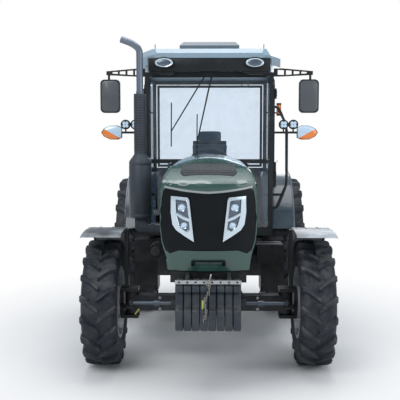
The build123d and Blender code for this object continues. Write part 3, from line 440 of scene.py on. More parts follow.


# ---- front fenders -------------------------------------------------------------------------
# Black moulded guards over the front wheels, flat in front and bent down behind, with a
# turned-down outer lip. Each is screwed to a steel arm on its knuckle, and its top has a
# painted sky reflection in pale blue.
# The pale blue layer at 0.95 is painted sky reflection on what faces up, not dust.
guard_paint_with_sky_sheen = finish("guard_plastic_sky_sheen", (0.030, 0.034, 0.040), 0.40, coat=0.15, dust=0.95, grain=500,
                     ripple=12, relief=0.12, dust_and_sheen_size=2.0, dust_and_sheen_colour=(0.62, 0.67, 0.72))


def guard(center, path, x_in, x_out, lip):
    """A bent guard with a turned-down outer lip, swept along a path of (back, up)."""
    section = [(x_in, 0.0), (x_in, 0.006), (x_in + 0.02, 0.0075), (x_out - 0.022, 0.0075),
               (x_out - 0.008, 0.004), (x_out, -0.006), (x_out, -lip), (x_out - 0.006, -lip),
               (x_out - 0.007, -0.008), (x_out - 0.014, 0.0), (x_out - 0.024, 0.0015), (x_in + 0.02, 0.0015)]
    rings = []
    for i, (y, z) in enumerate(path):
        before, after = path[max(i - 1, 0)], path[min(i + 1, len(path) - 1)]
        way = Vector((after[0] - before[0], after[1] - before[1])).normalized()
        ease = min(1.0, 0.15 + i / 3, 0.15 + (len(path) - 1 - i) / 3)
        rings.append([(x, center[0] + y + way.y * h * ease, center[1] + z - way.x * h * ease)
                      for x, h in section])
    return skinned(rings)


low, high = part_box("front_fender_left")
wheel_low, wheel_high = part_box("tyre_front_left")
wheel_mid = (wheel_low + wheel_high) / 2
guard_in, guard_radius = high.x - 0.35, 0.672
path = [(guard_radius * math.cos(a), guard_radius * math.sin(a))
        for a in angles(20, math.radians(28), math.radians(56))]
path += [(0.060, 0.672), (0.0, 0.674), (-0.07, 0.676), (-0.14, 0.677), (-0.21, 0.676), (-0.28, 0.673),
         (-0.34, 0.667), (-0.385, 0.658), (-0.410, 0.646)]
made = guard((wheel_mid.y, wheel_mid.z), path, guard_in, high.x, 0.03)
shelf_half = 0.078
shelf = plate([(guard_in + 0.02, 1.2385), (guard_in + 0.02, 1.2435), (guard_in - 0.002, 1.2425),
               (low.x, 1.153), (low.x + 0.006, 1.149)], "XZ", wheel_mid.y - shelf_half,
              wheel_mid.y + shelf_half, 0.0015)
both(joined([made, shelf]), "fender_guard", "{}_knuckle", guard_paint_with_sky_sheen, 40,
     ["front_fender_{}"])
for side, sign in SIDES:
    screws = [(sign * (guard_in + dx), wheel_mid.y + dy, 1.2495) for dx in (0.12, 0.23)
              for dy in (-0.04, 0.04)]
    hexes(screws, (0, 0, 1), 0.008, 0.006, f"{side}_knuckle", f"fender_screws_{side}")


# ---- front axle and steering ---------------------------------------------------------------
# The knuckles turn on kingpins. A double-ended ram across the axle's front pushes both tie rods,
# whose ball ends sit in rubber boots. Its gland rings, hoses and clamp bolts are fitted last.
ram_chrome = finish("ram_chrome", (0.55, 0.56, 0.58), 0.12, metallic=1.0, dust=0.1, relief=0.02)
hose_rubber = finish("hose_rubber", (0.012, 0.013, 0.015), 0.5, dust=0.3, grain=900, relief=0.1)
rod_steel = finish("rod_steel", (0.09, 0.11, 0.14), 0.35, metallic=0.6, dust=0.2)
paint_nodes(rod_steel, "steering_rod")
low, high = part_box("steering_rod")
rod_y, rod_z = (low.y + high.y) / 2, (low.z + high.z) / 2
gland = turned([(0.308, 0.0382), (0.311, 0.0412), (0.327, 0.0412), (0.3330, 0.036), (0.3330, 0.0178),
                (0.3305, 0.0175), (0.3305, 0.0382)], (0, rod_y, rod_z), "X", 40)
both(gland, "ram_gland", "chassis", hose_rubber, 40)
joint = turned([(-0.030, 0.004), (-0.030, 0.012), (-0.022, 0.020), (0, 0.030), (0.022, 0.020),
                (0.030, 0.012), (0.030, 0.004)], (high.x - 0.027, rod_y, rod_z), "Z", 28)
both(joint, "tie_rod_end", "steering_piston", hose_rubber, 50)


def piped(points, radius, sides=14, corner=0.03):
    """A round tube through points, with its corners rounded off."""
    path = [Vector(p) for p in points]
    run = [path[0]]
    for before, here, after in zip(path, path[1:], path[2:]):
        back, on = (before - here), (after - here)
        cut = min(corner, back.length * 0.45, on.length * 0.45)
        a, b = here + back.normalized() * cut, here + on.normalized() * cut
        run += [a * (1 - t) ** 2 + here * 2 * t * (1 - t) + b * t**2 for t in (0, 0.25, 0.5, 0.75, 1)]
    run.append(path[-1])
    rings, turn = [], None
    for i, point in enumerate(run):
        way = (run[min(i + 1, len(run) - 1)] - run[max(i - 1, 0)]).normalized()
        turn = way.to_track_quat("Z", "Y") if turn is None else (
            (turn @ Vector((0, 0, 1))).rotation_difference(way) @ turn)
        rings.append([point + turn @ Vector((radius * math.cos(a), radius * math.sin(a), 0))
                      for a in angles(sides)])
    return skinned(rings)


hoses = [piped([(0.30, rod_y + 0.02, rod_z + 0.03), (0.30, rod_y + 0.03, rod_z + 0.10),
                (0.24, rod_y + 0.12, rod_z + 0.13), (0.20, rod_y + 0.20, rod_z + 0.13)], 0.007, 12, 0.05),
         piped([(0.50, rod_y + 0.21, rod_z + 0.13), (0.46, rod_y + 0.245, rod_z + 0.02),
                (0.42, rod_y + 0.25, rod_z - 0.02)], 0.006, 12, 0.05)]
both(joined(hoses), "axle_hoses", "chassis", hose_rubber, 50)
low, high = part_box("front_axle")
clamp_face = (low.y + high.y) / 2 - 0.085
hexes([(x, clamp_face, rod_z + dz) for x in (-0.44, 0.44) for dz in (-0.06, 0.04)], (0, -1, 0), 0.011,
      0.012, "chassis", "clamp_bolts")


# ---- nose weights --------------------------------------------------------------------------
# Eight cast plates hang side by side on the carrier bar. A perforated strap holds their tops
# and a safety chain with a pin keeps the strap's bolt from being lost.
weight_paint = finish("weight_paint", (0.020, 0.028, 0.040), 0.45, dust=0.35, grain=120, ripple=20,
                      relief=0.4, depth=0.0015)
low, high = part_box("front_weights")
front_y, foot, head = low.y, low.z, high.z
outline = [(front_y, foot + 0.045), (front_y + 0.012, foot + 0.014), (front_y + 0.040, foot),
           (high.y - 0.11, foot), (high.y - 0.0703, foot + 0.05), (high.y - 0.0703, foot + 0.3103),
           (high.y, foot + 0.3103), (high.y, head - 0.010), (high.y - 0.020, head),
           (front_y + 0.045, head), (front_y + 0.012, head - 0.022), (front_y + 0.010, head - 0.060),
           (front_y + 0.060, head - 0.088), (front_y + 0.060, head - 0.180), (front_y, head - 0.205)]
row_half, pitch = 0.256, 0.064
middles = [-row_half + (i + 0.5) * pitch for i in range(8)]
plates = [plate(outline, "YZ", x - 0.030, x + 0.030, 0.013, 4) for x in middles]
fitted(joined(plates), "weights", "chassis", weight_paint, 40, ["front_weights"])
strap_zinc = finish("strap_zinc", (0.42, 0.44, 0.45), 0.42, metallic=0.6, dust=0.3)
paint_nodes(chassis_black, "weight_carrier")
strap_y, strap_z = front_y + 0.0125, head + 0.015
strap = cuboid((-row_half, row_half), (strap_y, strap_y + 0.009), (strap_z - 0.014, strap_z + 0.014), 0.002)
strap_rings = [turned([(-0.002, 0.0085), (-0.002, 0.0125), (0.002, 0.0125), (0.002, 0.0085)],
                      (x, strap_y - 0.002, strap_z), "Y", 24) for x in middles]
fitted(joined([strap, *strap_rings]), "strap", "chassis", strap_zinc, 35)
# Thin black discs inside the strap's rings are painted shade where its holes are; the strap itself is whole.
strap_hole_shade_discs = [bar((x, strap_y - 0.0017, strap_z), (x, strap_y - 0.0003, strap_z), 0.0105, 20)
              for x in middles]
fitted(joined(strap_hole_shade_discs), "strap_hole_shade", "chassis", hose_rubber, 35)


def link(center, length, width, wire, turn, lean=0.0):
    """One oval chain link hanging along Z, turned about its own length."""
    half, rings = length / 2 - width / 2, []
    for a in angles(16):
        middle = Vector((math.cos(a) * (width / 2 - wire), 0, math.sin(a) * (width / 2 - wire)
                         + (half if math.sin(a) > 0 else -half)))
        out = Vector((math.cos(a), 0, math.sin(a)))
        rings.append([middle + out * wire * math.cos(b) + Vector((0, wire * math.sin(b), 0))
                      for b in angles(8)])
    piece = skinned(rings + rings[:1])
    piece.data.transform(Matrix.Translation(center) @ Matrix.Rotation(lean, 4, "Y")
                         @ Matrix.Rotation(turn, 4, "Z"))
    return piece


def hoop(center, radius, wire, up, normal, steps, sides):
    """A ring of round wire in the plane of X and another axis, about a third one."""
    up, normal, rings = Vector(up), Vector(normal), []
    for a in angles(steps):
        out = Vector((1, 0, 0)) * math.cos(a) + up * math.sin(a)
        rings.append([Vector(center) + out * (radius + wire * math.cos(b)) + normal * wire * math.sin(b)
                      for b in angles(sides)])
    return skinned(rings + rings[:1])


chain_steel = finish("chain_steel", (0.34, 0.33, 0.30), 0.35, metallic=0.9, dust=0.25)
chain_top = Vector((0.002, front_y - 0.008, head + 0.004))
chain = [link(chain_top + Vector((0.012 * math.sin(i * 0.8) - 0.003 * i, 0, -0.0235 * i)), 0.033, 0.020,
              0.003, 0 if i % 2 else math.pi / 2, 0.15 * math.cos(i * 0.8)) for i in range(13)]
hook = turned([(-0.004, 0.0), (-0.004, 0.014), (0.004, 0.014), (0.004, 0.0)],
              chain_top + Vector((0, 0, 0.018)), "Y", 24)
pull_ring = hoop(chain_top + Vector((0, -0.004, 0.004)), 0.018, 0.0025, (0, 0, 1), (0, 1, 0), 24, 8)
pin = bar((0.004, front_y - 0.006, head + 0.012), (0.024, front_y + 0.004, head + 0.082), 0.006, 14, 0.0015)
fitted(joined([*chain, hook, pull_ring, pin]), "safety_chain", "chassis", chain_steel, 60)
grip_rubber = finish("grip_rubber", (0.42, 0.47, 0.10), 0.55, dust=0.15)
grip = bar((chain_top.x - 0.042, chain_top.y, head - 0.12), (chain_top.x - 0.046, chain_top.y, head - 0.19),
           0.008, 16, 0.003, tip=0.006)
fitted(grip, "pull_grip", "chassis", grip_rubber, 50)
sleeve = bar((-0.660, rod_y - 0.012, rod_z - 0.098), (-0.622, rod_y - 0.012, rod_z - 0.050), 0.008,
             16, 0.003)
fitted(sleeve, "hose_sleeve", "right_knuckle", grip_rubber, 50)


# ---- engine and radiator -------------------------------------------------------------------
# The engine fills the frame behind the radiator, whose core is a brick of pressed fins between
# two tanks. Rows of bolts hold the gearbox's halves and the rear axle's trumpets together.
core = finish("radiator_core", (0.03, 0.032, 0.035), 0.5, metallic=0.4, dust=0.5, grain=700, relief=0.5)
paint_nodes(core, "radiator")
low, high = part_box("radiator")
fins = [cuboid((low.x + 0.024, high.x - 0.024), (low.y + 0.004, low.y + 0.012),
               (low.z + 0.045 + i * 0.022, low.z + 0.050 + i * 0.022), 0.0) for i in range(28)]
fitted(joined(fins), "core_fins", "chassis", core, 30)
case_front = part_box("transmission")[0].y + 0.62
rear_low, rear_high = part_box("tyre_rear_left")
rear_mid = (rear_low + rear_high) / 2
for side, sign in SIDES:
    row = [(sign * 0.210, case_front + i * 0.14, 0.94) for i in range(6)]
    hexes(row, (sign, 0, 0), 0.010, 0.010, "chassis", f"case_bolts_{side}")
    ring = [(sign * 0.599, rear_mid.y + 0.13 * math.cos(a), rear_mid.z + 0.13 * math.sin(a))
            for a in angles(10, math.pi / 10)]
    hexes(ring, (-sign, 0, 0), 0.010, 0.048, "chassis", f"axle_bolts_{side}")


# ---- hood ----------------------------------------------------------------------------------
# Pressed steel sheet in dark green two-coat paint, curved round the nose. A mesh intake is let
# into its top, slanted vents are cut in its sides, and the black panel is seated in its front.
green_paint = finish("green_paint", (0.018, 0.070, 0.057), 0.26, coat=0.8, dust=0.06, grain=900,
                     ripple=5, relief=0.05, dust_and_sheen_size=4.0)
panel_plastic = finish("panel_plastic", (0.004, 0.006, 0.008), 0.36, dust=0.02, grain=800,
                       relief=0.06, shine=0.16)
mesh_black = finish("mesh_black", (0.10, 0.115, 0.125), 0.4, dust=0.2, grain=800, relief=0.1)
strip_grey = finish("strip_grey", (0.36, 0.38, 0.40), 0.28, metallic=0.5, dust=0.08)
hood_low, hood_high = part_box("hood_shell")
hood_front, hood_back = hood_low.y, hood_high.y
nose_sweep, nose_reach, nose_round = 0.110, 0.405, 0.009
nose_bend = (nose_reach**2 + nose_sweep**2) / (2 * nose_sweep)
# Half of the hood's width by height, up its flank, and half of the front panel's outline.
FLANK = [(0.995, 0.335), (1.12, 0.352), (1.20, 0.384), (1.33, 0.400), (1.64, 0.394)]
flank_top, crest_half, crest_low, crest_rise = 1.64, 0.292, 1.836, 0.062
knee_across, knee_up = 0.102, 0.196
PANEL = [(0.0, 1.622), (0.200, 1.638), (0.364, 1.666), (0.386, 1.560), (0.390, 1.330), (0.374, 1.205),
         (0.346, 1.142), (0.298, 1.126), (0.240, 1.160), (0.0, 1.160)]


def nose_y(x, shift=0.0):
    """The nose's front arc at a place across, moved back by a shift."""
    return hood_front + shift + nose_bend - math.sqrt(nose_bend**2 - x**2)


def between(table, value):
    """A value read off a table of (place, value) by straight lines."""
    for (a, low_value), (b, high_value) in zip(table, table[1:]):
        if value <= b:
            return low_value + (high_value - low_value) * max(0.0, value - a) / (b - a)
    return table[-1][1]


def hood_top(y):
    """The hood's top on its middle line: lip, brow slope, long slope and level back."""
    return between([(hood_front, 1.700), (hood_front + 0.03, 1.716), (hood_front + 0.24, 1.806),
                    (hood_front + 0.62, 1.898)], y)


def hood_section(y):
    """The hood's section from its lower right edge over the crest, at one place along it."""
    low = between([(hood_front + 0.30, 0.995), (hood_front + 0.42, 1.235)], y)
    flank = [(between(FLANK, z), z) for z in (low + (flank_top - low) * k / 12 for k in range(13))]
    knee = [(crest_half + knee_across * math.cos(a), flank_top + knee_up * math.sin(a))
            for a in angles(10, math.pi / 20, math.pi / 2)]
    crest = [(crest_half * share, crest_low + crest_rise * (1 - share**2))
             for share in (1 - k / 8 for k in range(1, 9))]
    half = [(x, min(z, hood_top(y))) for x, z in flank + knee + crest]
    return half + [(-x, z) for x, z in reversed(half[:-1])]


def split_outline(outline, reach=0.03):
    """A closed outline with its long edges split."""
    points = []
    for (ax, az), (bx, bz) in zip(outline, outline[1:] + outline[:1]):
        parts = max(1, math.ceil(math.hypot(bx - ax, bz - az) / reach))
        points += [(ax + (bx - ax) * k / parts, az + (bz - az) * k / parts) for k in range(parts)]
    return points


def mirrored_half(half):
    """A closed outline from its right half, which starts and ends on the middle line."""
    return half + [(-x, z) for x, z in reversed(half[1:-1])]


def nose_solid(outline, front, back, shares=(0.02, 0.25, 0.5, 0.75, 0.96, 1.0)):
    """A curved solid between two copies of the nose's arc, inside an outline of (x, z)."""
    points = split_outline(outline)
    mid_x = sum(x for x, _ in points) / len(points)
    mid_z = sum(z for _, z in points) / len(points)
    rings = []
    for shift, order in ((front, shares), (back, reversed(shares))):
        for share in order:
            dull = 0.0015 if shift == front and share == 1.0 else 0.0
            grown = [(mid_x + (x - mid_x) * share, mid_z + (z - mid_z) * share) for x, z in points]
            rings.append([(x, nose_y(x, shift + dull), z) for x, z in grown])
    return skinned(rings)


def carved(piece, *tools):
    """Cuts tools out of a piece and removes them."""
    for tool in tools:
        modified(piece, "BOOLEAN", operation="DIFFERENCE", object=tool)
        bpy.data.objects.remove(tool)
    return piece


stations = [hood_front + nose_round + (hood_back - hood_front - nose_round) * share
            for share in (0, 0.012, 0.03, 0.06, 0.09, 0.125, 0.16, 0.19, 0.224, 0.26, 0.30, 0.328, 0.36,
                          0.42, 0.5, 0.6, 0.7, 0.8, 0.9, 1.0)]
rows = []
for y in stations:
    nose_share = max(0.0, 1 - (y - hood_front - nose_round) / (0.6 * (hood_back - hood_front)))
    rows.append([(x, y + (nose_y(x) - hood_front) * nose_share, z) for x, z in hood_section(y)])
front_edge = [(x, z) for x, _, z in rows[0]]
bottom = [(-front_edge[0][0] + 2 * front_edge[0][0] * k / 12, front_edge[0][1]) for k in range(1, 12)]
opening = mirrored_half(PANEL)
opening_points = split_outline(opening, 0.02)
wall_middle = 1.40
wall = []
for x, z in front_edge + bottom:
    aim = math.atan2(z - wall_middle, x)
    near = min(opening_points, key=lambda p: abs(math.remainder(
        math.atan2(p[1] - wall_middle, p[0]) - aim, 2 * math.pi)))
    wall.append([(x + (near[0] - x) * t, z + (near[1] - z) * t) for t in (0.0, 0.25, 0.5, 0.75, 1.0)])
wall_rings = [[(x, nose_y(x, 0.0 if step else nose_round * 0.35), z)
               for x, z in (column[step] for column in wall)] for step in range(5)]
shell = joined([sheet_of(rows), sheet_of(wall_rings, closed=True)])
open_mesh(shell)
bpy.ops.mesh.remove_doubles(threshold=nose_round * 1.05)
bpy.ops.mesh.normals_make_consistent(inside=False)
bpy.ops.object.mode_set(mode="OBJECT")
modified(shell, "SOLIDIFY", thickness=0.007, offset=-1.0)
INTAKE = [(-0.205, 0.150), (0.205, 0.150), (0.235, 0.210), (0.225, 0.420), (0.120, 0.450), (-0.120, 0.450),
          (-0.225, 0.420), (-0.235, 0.210)]
well = plate([(x, hood_front + back) for x, back in INTAKE], "XY", 1.70, 1.95)
vent_starts = [hood_front + 0.64 + i * 0.07 for i in range(6)]
vent_low, vent_high, vent_lean = 1.40, 1.56, 0.040
vents = [plate([(y, vent_low), (y + 0.036, vent_low), (y + 0.036 + vent_lean, vent_high),
                (y + vent_lean, vent_high)], "YZ", near, near + 0.050)
         for near in (-0.420, 0.370) for y in vent_starts]
carved(shell, well, joined(vents))
fitted(shell, "hood_skin", "hood", green_paint, 40, ["hood_shell"])
hinge_y, hinge_z = hood_back - 0.030, 1.820
lugs = []
for x in (-0.082, 0.082):
    lug = plate([(hinge_y - 0.026, hinge_z - 0.024), (hinge_y + 0.026, hinge_z - 0.024),
                 (hinge_y + 0.026, 1.886), (hinge_y - 0.026, 1.886)], "YZ", x - 0.010, x + 0.010, 0.002)
    lugs.append(carved(lug, bar((x - 0.02, hinge_y, hinge_z), (x + 0.02, hinge_y, hinge_z), 0.0115, 24)))
fitted(joined(lugs), "hood_lugs", "hood", chassis_black, 35)
inner = [(x * 0.988, z + (0.003 if z < 1.4 else -0.003)) for x, z in opening]
backing = nose_solid([(x * 1.006, z + (-0.018 if z < 1.4 else 0.014)) for x, z in opening], 0.0105, 0.0145)
panel = nose_solid(inner, 0.002, 0.009)
grip_bar = plate([(-0.14, 1.086), (0.14, 1.086), (0.14, 1.04), (0.116, 1.04), (0.116, 1.072),
                  (-0.116, 1.072), (-0.116, 1.04), (-0.14, 1.04)], "XZ", hood_front - 0.024,
                 hood_front - 0.010, 0.003)
feet = [cuboid((x - 0.011, x + 0.011), (hood_front - 0.012, nose_y(0.128) - 0.0003), (1.042, 1.062), 0.002)
        for x in (-0.128, 0.128)]
fitted(joined([backing, panel, grip_bar, *feet]), "front_panel", "hood", panel_plastic, 35,
       ["grille_panel"])
brow = [(x, 1.635 + 0.044 * (abs(x) / 0.364) ** 1.6) for x in (-0.36 + 0.72 * i / 32 for i in range(33))]
rings = [[(x, nose_y(x, -0.0045), z - 0.008), (x, nose_y(x, -0.0045), z + 0.008),
          (x, nose_y(x, -0.0005), z + 0.008), (x, nose_y(x, -0.0005), z - 0.008)] for x, z in brow]
fitted(skinned(rings), "brow_strip", "hood", strip_grey, 40)


def well_half(back):
    """Half the intake's width at a distance behind the hood's front."""
    return between([(0.150, 0.205), (0.210, 0.235), (0.420, 0.225), (0.450, 0.120)], back)


wires = []
wire_radius, pitch, back = 0.0011, 0.0095, 0.156
while back < 0.447:
    y, half = hood_front + back, well_half(back) - 0.0005
    z = hood_top(y) - 0.0055
    wires.append(bar((-half, y, z), (half, y, z), wire_radius, 5))
    back += pitch
for i in range(47):
    x = -0.23 + i * 0.01
    inside = [b for b in (0.1505 + 0.0035 * k for k in range(86)) if well_half(b) > abs(x)]
    for start, stop in ((inside[0], 0.24), (0.24, inside[-1])):
        wires.append(bar(*[(x, hood_front + b, hood_top(hood_front + b) - 0.004) for b in (start, stop)],
                         wire_radius, 5))
fitted(joined(wires), "intake_mesh", "hood", mesh_black, 60)
slats = []
for i in range(7):
    y = hood_front + 0.170 + i * 0.040
    half = well_half(y - hood_front + 0.008) + 0.004
    top = hood_top(y) - 0.009
    slats.append(plate([(y, top - 0.014), (y + 0.018, top - 0.006), (y + 0.018, top - 0.003),
                        (y, top - 0.011)], "YZ", -half + 0.006, half - 0.006))
fitted(joined(slats), "intake_slats", "hood", panel_plastic, 30)
vent_wires = []
for y in vent_starts:
    for z in (1.415 + k * 0.026 for k in range(6)):
        lean = vent_lean * (z - vent_low) / (vent_high - vent_low)
        vent_wires += [bar((x, y + lean - 0.001, z), (x, y + lean + 0.037, z + 0.006), 0.0018, 6)
                       for x in (-0.392, 0.392)]
fitted(joined(vent_wires), "vent_slats", "hood", panel_plastic, 60)


# ---- headlamps -----------------------------------------------------------------------------
# Each lamp is a silver moulded shell with two reflector cells. A glass projector sits in each
# cell, and the shell follows the nose.
silver = finish("lamp_silver", (0.62, 0.72, 0.80), 0.22, metallic=0.55, coat=0.4, dust=0.05, relief=0.03)
chrome = finish("lamp_chrome", (0.70, 0.74, 0.80), 0.08, metallic=1.0, dust=0.03, relief=0.02)
LAMP = [(0.304, 1.604), (0.166, 1.594), (0.155, 1.572), (0.117, 1.236), (0.190, 1.280), (0.262, 1.328),
        (0.292, 1.373), (0.306, 1.470)]
CELLS = [
    [(0.266, 1.578), (0.182, 1.570), (0.172, 1.556), (0.158, 1.424), (0.200, 1.440), (0.262, 1.470)],
    [(0.258, 1.446), (0.205, 1.414), (0.156, 1.398), (0.150, 1.336), (0.180, 1.318), (0.232, 1.356)],
]
lamp_shell = nose_solid(LAMP, -0.022, 0.0015)
carved(lamp_shell, *[nose_solid(cell, -0.040, -0.007) for cell in CELLS])
left_lamp, _ = both(lamp_shell, "headlamp", "hood", silver, 35)
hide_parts("headlamps")
bowl_grey = finish("lamp_bowl", (0.13, 0.16, 0.20), 0.25, metallic=0.8, dust=0.02, relief=0.02)
bowls = [nose_solid(cell, -0.0073, -0.0069) for cell in CELLS]
both(joined(bowls), "lamp_bowls", "hood", bowl_grey, 35)


def lens_material(name, colour, roughness, ribs):
    """Moulded lamp glass: glossy, with fine ribs across it."""
    made, tree, shader = new_material(name)
    where = add_node(tree, "TexCoord")
    wave = add_node(tree, "TexWave", [("Vector", where.outputs["Object"]), ("Scale", ribs),
                    ("Distortion", 0.3)], bands_direction="X")
    tint = add_node(tree, "Mix", [(0, wave.outputs["Fac"]), (6, (*colour, 1)),
                    (7, (*[min(1.0, c * 1.25) for c in colour], 1))], data_type="RGBA")
    bump = add_node(tree, "Bump", [("Strength", 0.25), ("Distance", 0.0006),
                    ("Height", wave.outputs["Fac"])])
    connect(tree, shader, [("Base Color", tint.outputs[2]), ("Normal", bump.outputs[0]),
                           ("Roughness", roughness), ("Coat Weight", 1.0)])
    return made


def pane_material(name, tint, share=0.10, dust=0.04):
    """Thin safety glass: it tints what is seen through it and mirrors the sky at a low angle."""
    made, tree, shader = new_material(name)
    tree.nodes.remove(shader)
    clear = add_node(tree, "BsdfTransparent", [(0, (*tint, 1))])
    gloss = add_node(tree, "BsdfGlossy", [(0, (0.85, 0.93, 1.0, 1)), ("Roughness", 0.03)])
    facing = add_node(tree, "LayerWeight", [("Blend", 0.5)])
    edge = add_node(tree, "Math", [(0, facing.outputs["Facing"]), (1, 5.0)], operation="POWER")
    seen = add_node(tree, "Math", [(0, edge.outputs[0]), (1, 0.85), (2, share)],
                    operation="MULTIPLY_ADD")
    mixed = add_node(tree, "MixShader", [(0, seen.outputs[0]), (1, clear.outputs[0]),
                     (2, gloss.outputs[0])])
    where = add_node(tree, "TexCoord")
    film = add_node(tree, "TexNoise", [("Vector", where.outputs["Object"]), ("Scale", 7.0),
                    ("Detail", 8.0)])
    film = add_node(tree, "MapRange", [(0, film.outputs[0]), (1, 0.45), (2, 0.8), (3, 0.0),
                    (4, dust)])
    haze = add_node(tree, "BsdfDiffuse", [(0, (0.75, 0.85, 0.95, 1))])
    both_films = add_node(tree, "MixShader", [(0, film.outputs[0]), (1, mixed.outputs[0]),
                          (2, haze.outputs[0])])
    connect(tree, tree.nodes["Material Output"], [(0, both_films.outputs[0])])
    return made


lens_clear = lens_material("lens_clear", (0.52, 0.66, 0.80), 0.02, 60.0)
lens_amber = lens_material("lens_amber", (0.85, 0.20, 0.012), 0.08, 90.0)
lens_red = lens_material("lens_red", (0.45, 0.012, 0.012), 0.08, 90.0)
for x, z, radius in ((0.215, 1.512, 0.030), (0.197, 1.368, 0.027)):
    y = nose_y(x) - 0.0185
    bowl = turned([(0.006, radius * 1.02), (0.0, radius * 1.06), (-0.003, radius * 1.0),
                   (-0.002, radius * 0.90), (0.004, radius * 0.80)], (x, y, z), "Y", 40)
    both(bowl, f"bezel_{int(z * 1000)}", "hood", chrome, 50)
    dome = [(0.004, 0.0005)] + [(0.004 - 0.011 * math.sin(a), radius * 0.80 * math.cos(a) + 0.0005)
                                for a in angles(9, 0.0, math.pi * 9 / 16)]
    glass_ball = turned(dome, (x, y, z), "Y", 40)
    both(glass_ball, f"projector_{int(z * 1000)}", "hood", lens_clear, 60)
for index, cell in enumerate(CELLS):
    mid_x = sum(x for x, _ in cell) / len(cell)
    mid_z = sum(z for _, z in cell) / len(cell)
    rim = []
    for grow, shift in ((1.0, -0.0225), (1.05, -0.0245), (1.09, -0.0225)):
        rim.append([Vector((mid_x + (x - mid_x) * grow, nose_y(mid_x + (x - mid_x) * grow, shift),
                            mid_z + (z - mid_z) * grow)) for x, z in cell])
    edge = [[rim[0][i], rim[1][i], rim[2][i]] for i in range(len(cell))]
    edge.append(edge[0])
    both(skinned(edge), f"cell_rim_{index}", "hood", chrome, 30)


# ---- exhaust -------------------------------------------------------------------------------
# A pressed steel silencer carries a perforated heat shield round its pipe. Both are painted with
# dull heat-proof grey, and the tail pipe above has turned blue-grey.
heat_grey = finish("heat_grey", (0.045, 0.055, 0.070), 0.48, metallic=0.25, dust=0.2, grain=300, ripple=14)
tail_steel = finish("tail_steel", (0.16, 0.19, 0.24), 0.32, metallic=0.7, dust=0.15, relief=0.08)
pipe_x, pipe_y = -0.690, wheel_mid.y + 0.75
shield_low, shield_high, shield_radius = 1.903, 2.500, 0.0605
body = turned([(1.265, 0.0005), (1.265, 0.100), (1.270, 0.108), (1.282, 0.1115), (1.30, 0.1125),
               (1.305, 0.110), (1.31, 0.1125), (1.79, 0.1125), (1.795, 0.110), (1.80, 0.1125),
               (1.825, 0.112), (1.84, 0.105), (1.895, 0.064), (1.905, 0.0605), (1.905, 0.0005)],
              (pipe_x, pipe_y, 0), "Z", 56)
stay_piece = plate([(-0.745, 1.268), (-0.635, 1.268), (-0.62, 1.2), (-0.2253, 1.178), (-0.2253, 1.12),
                    (-0.71, 1.12), (-0.745, 1.16)], "XZ", pipe_y - 0.045, pipe_y + 0.045, 0.004)
fitted(joined([body, stay_piece]), "silencer", "chassis", heat_grey, 40, ["exhaust"])
# Thin black discs on the shield are painted shade where its perforations are; the shield itself is whole.
shield_hole_shade_discs = []
for row in range(21):
    for a in angles(16, math.pi / 16 * (row % 2)):
        out = Vector((math.cos(a), math.sin(a), 0))
        spot = Vector((pipe_x, pipe_y, shield_low + 0.042 + row * 0.026)) + out * (shield_radius - 0.0005)
        shield_hole_shade_discs.append(bar(spot, spot + out * 0.0010, 0.0072, 10))
fitted(joined(shield_hole_shade_discs), "shield_hole_shade", "chassis", hose_rubber, 30)
shield = turned([(shield_low, shield_radius - 0.001), (shield_low, shield_radius),
                 (shield_high - 0.002, shield_radius), (shield_high, shield_radius - 0.002),
                 (shield_high, 0.036), (shield_high - 0.004, 0.034), (1.91, 0.034)],
                (pipe_x, pipe_y, 0), "Z", 48)
fitted(shield, "heat_shield", "chassis", heat_grey, 40)
bend = Vector((pipe_x - 0.075, pipe_y, 2.997))
end = Vector((pipe_x - 0.184, pipe_y, 3.036))
tail = piped([(pipe_x, pipe_y, 2.49), (pipe_x, pipe_y, 2.94), bend, end], 0.0335, 28, 0.09)
clamp = turned([(2.505, 0.0335), (2.505, 0.038), (2.525, 0.038), (2.525, 0.0335)],
               (pipe_x, pipe_y, 0), "Z", 40)
fitted(joined([tail, clamp]), "tail_pipe", "chassis", tail_steel, 45)
# A black disc set at the pipe's closed end is painted shade for its open bore.
way = (end - bend).normalized()
mouth_shade_disc = bar(end - way * 0.004, end + way * 0.0012, 0.030, 28)
fitted(mouth_shade_disc, "tail_mouth_shade", "chassis", hose_rubber, 40)


# ---- boxes, tanks and steps ----------------------------------------------------------------
# The battery box and the fuel tanks are moulded black plastic. The steps are folded steel with
# raised treads, bolted under the cab.
tank_plastic = finish("tank_plastic", (0.020, 0.023, 0.028), 0.45, dust=0.4, grain=600, relief=0.15)
paint_nodes(tank_plastic, "fuel_tanks")
paint_nodes(chassis_black, "side_boxes", "steps")
low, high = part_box("side_boxes")
straps = [cuboid((0.4905, 0.7505), (low.y + y, low.y + y + 0.02), (0.9765, 0.9785), 0.0008)
          for y in (0.07, 0.21)]
fitted(joined(straps), "battery_straps", "chassis", strap_zinc)
can = turned([(0, 0.0005), (0, 0.045), (0.006, 0.05), (0.02, 0.051), (0.022, 0.066), (0.03, 0.072),
              (0.06, 0.0725), (0.065, 0.070), (0.07, 0.0725), (0.29, 0.0725), (0.2995, 0.065),
              (0.2995, 0.0005)], (-0.545, low.y, 0.905), "Y", 48)
fitted(can, "air_canister", "chassis", tank_plastic, 40)
first_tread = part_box("steps")[0].y + 0.035
treads = [cuboid((0.60, outer), (y, y + 0.010), (z, z + 0.004), 0.0015, 1)
          for z, outer in ((0.454, 0.780), (0.724, 0.752), (0.984, 0.718))
          for y in (first_tread + i * 0.056 for i in range(6))]
both(joined(treads), "step_treads", "chassis", chassis_black, 40)
cap = turned([(0.0, 0.0005), (0.0, 0.038), (0.012, 0.040), (0.022, 0.036), (0.024, 0.0005)],
             (0.43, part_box("fuel_tanks")[0].y + 0.07, 1.0), "Z", 28)
both(cap, "tank_cap", "chassis", hose_rubber, 40)


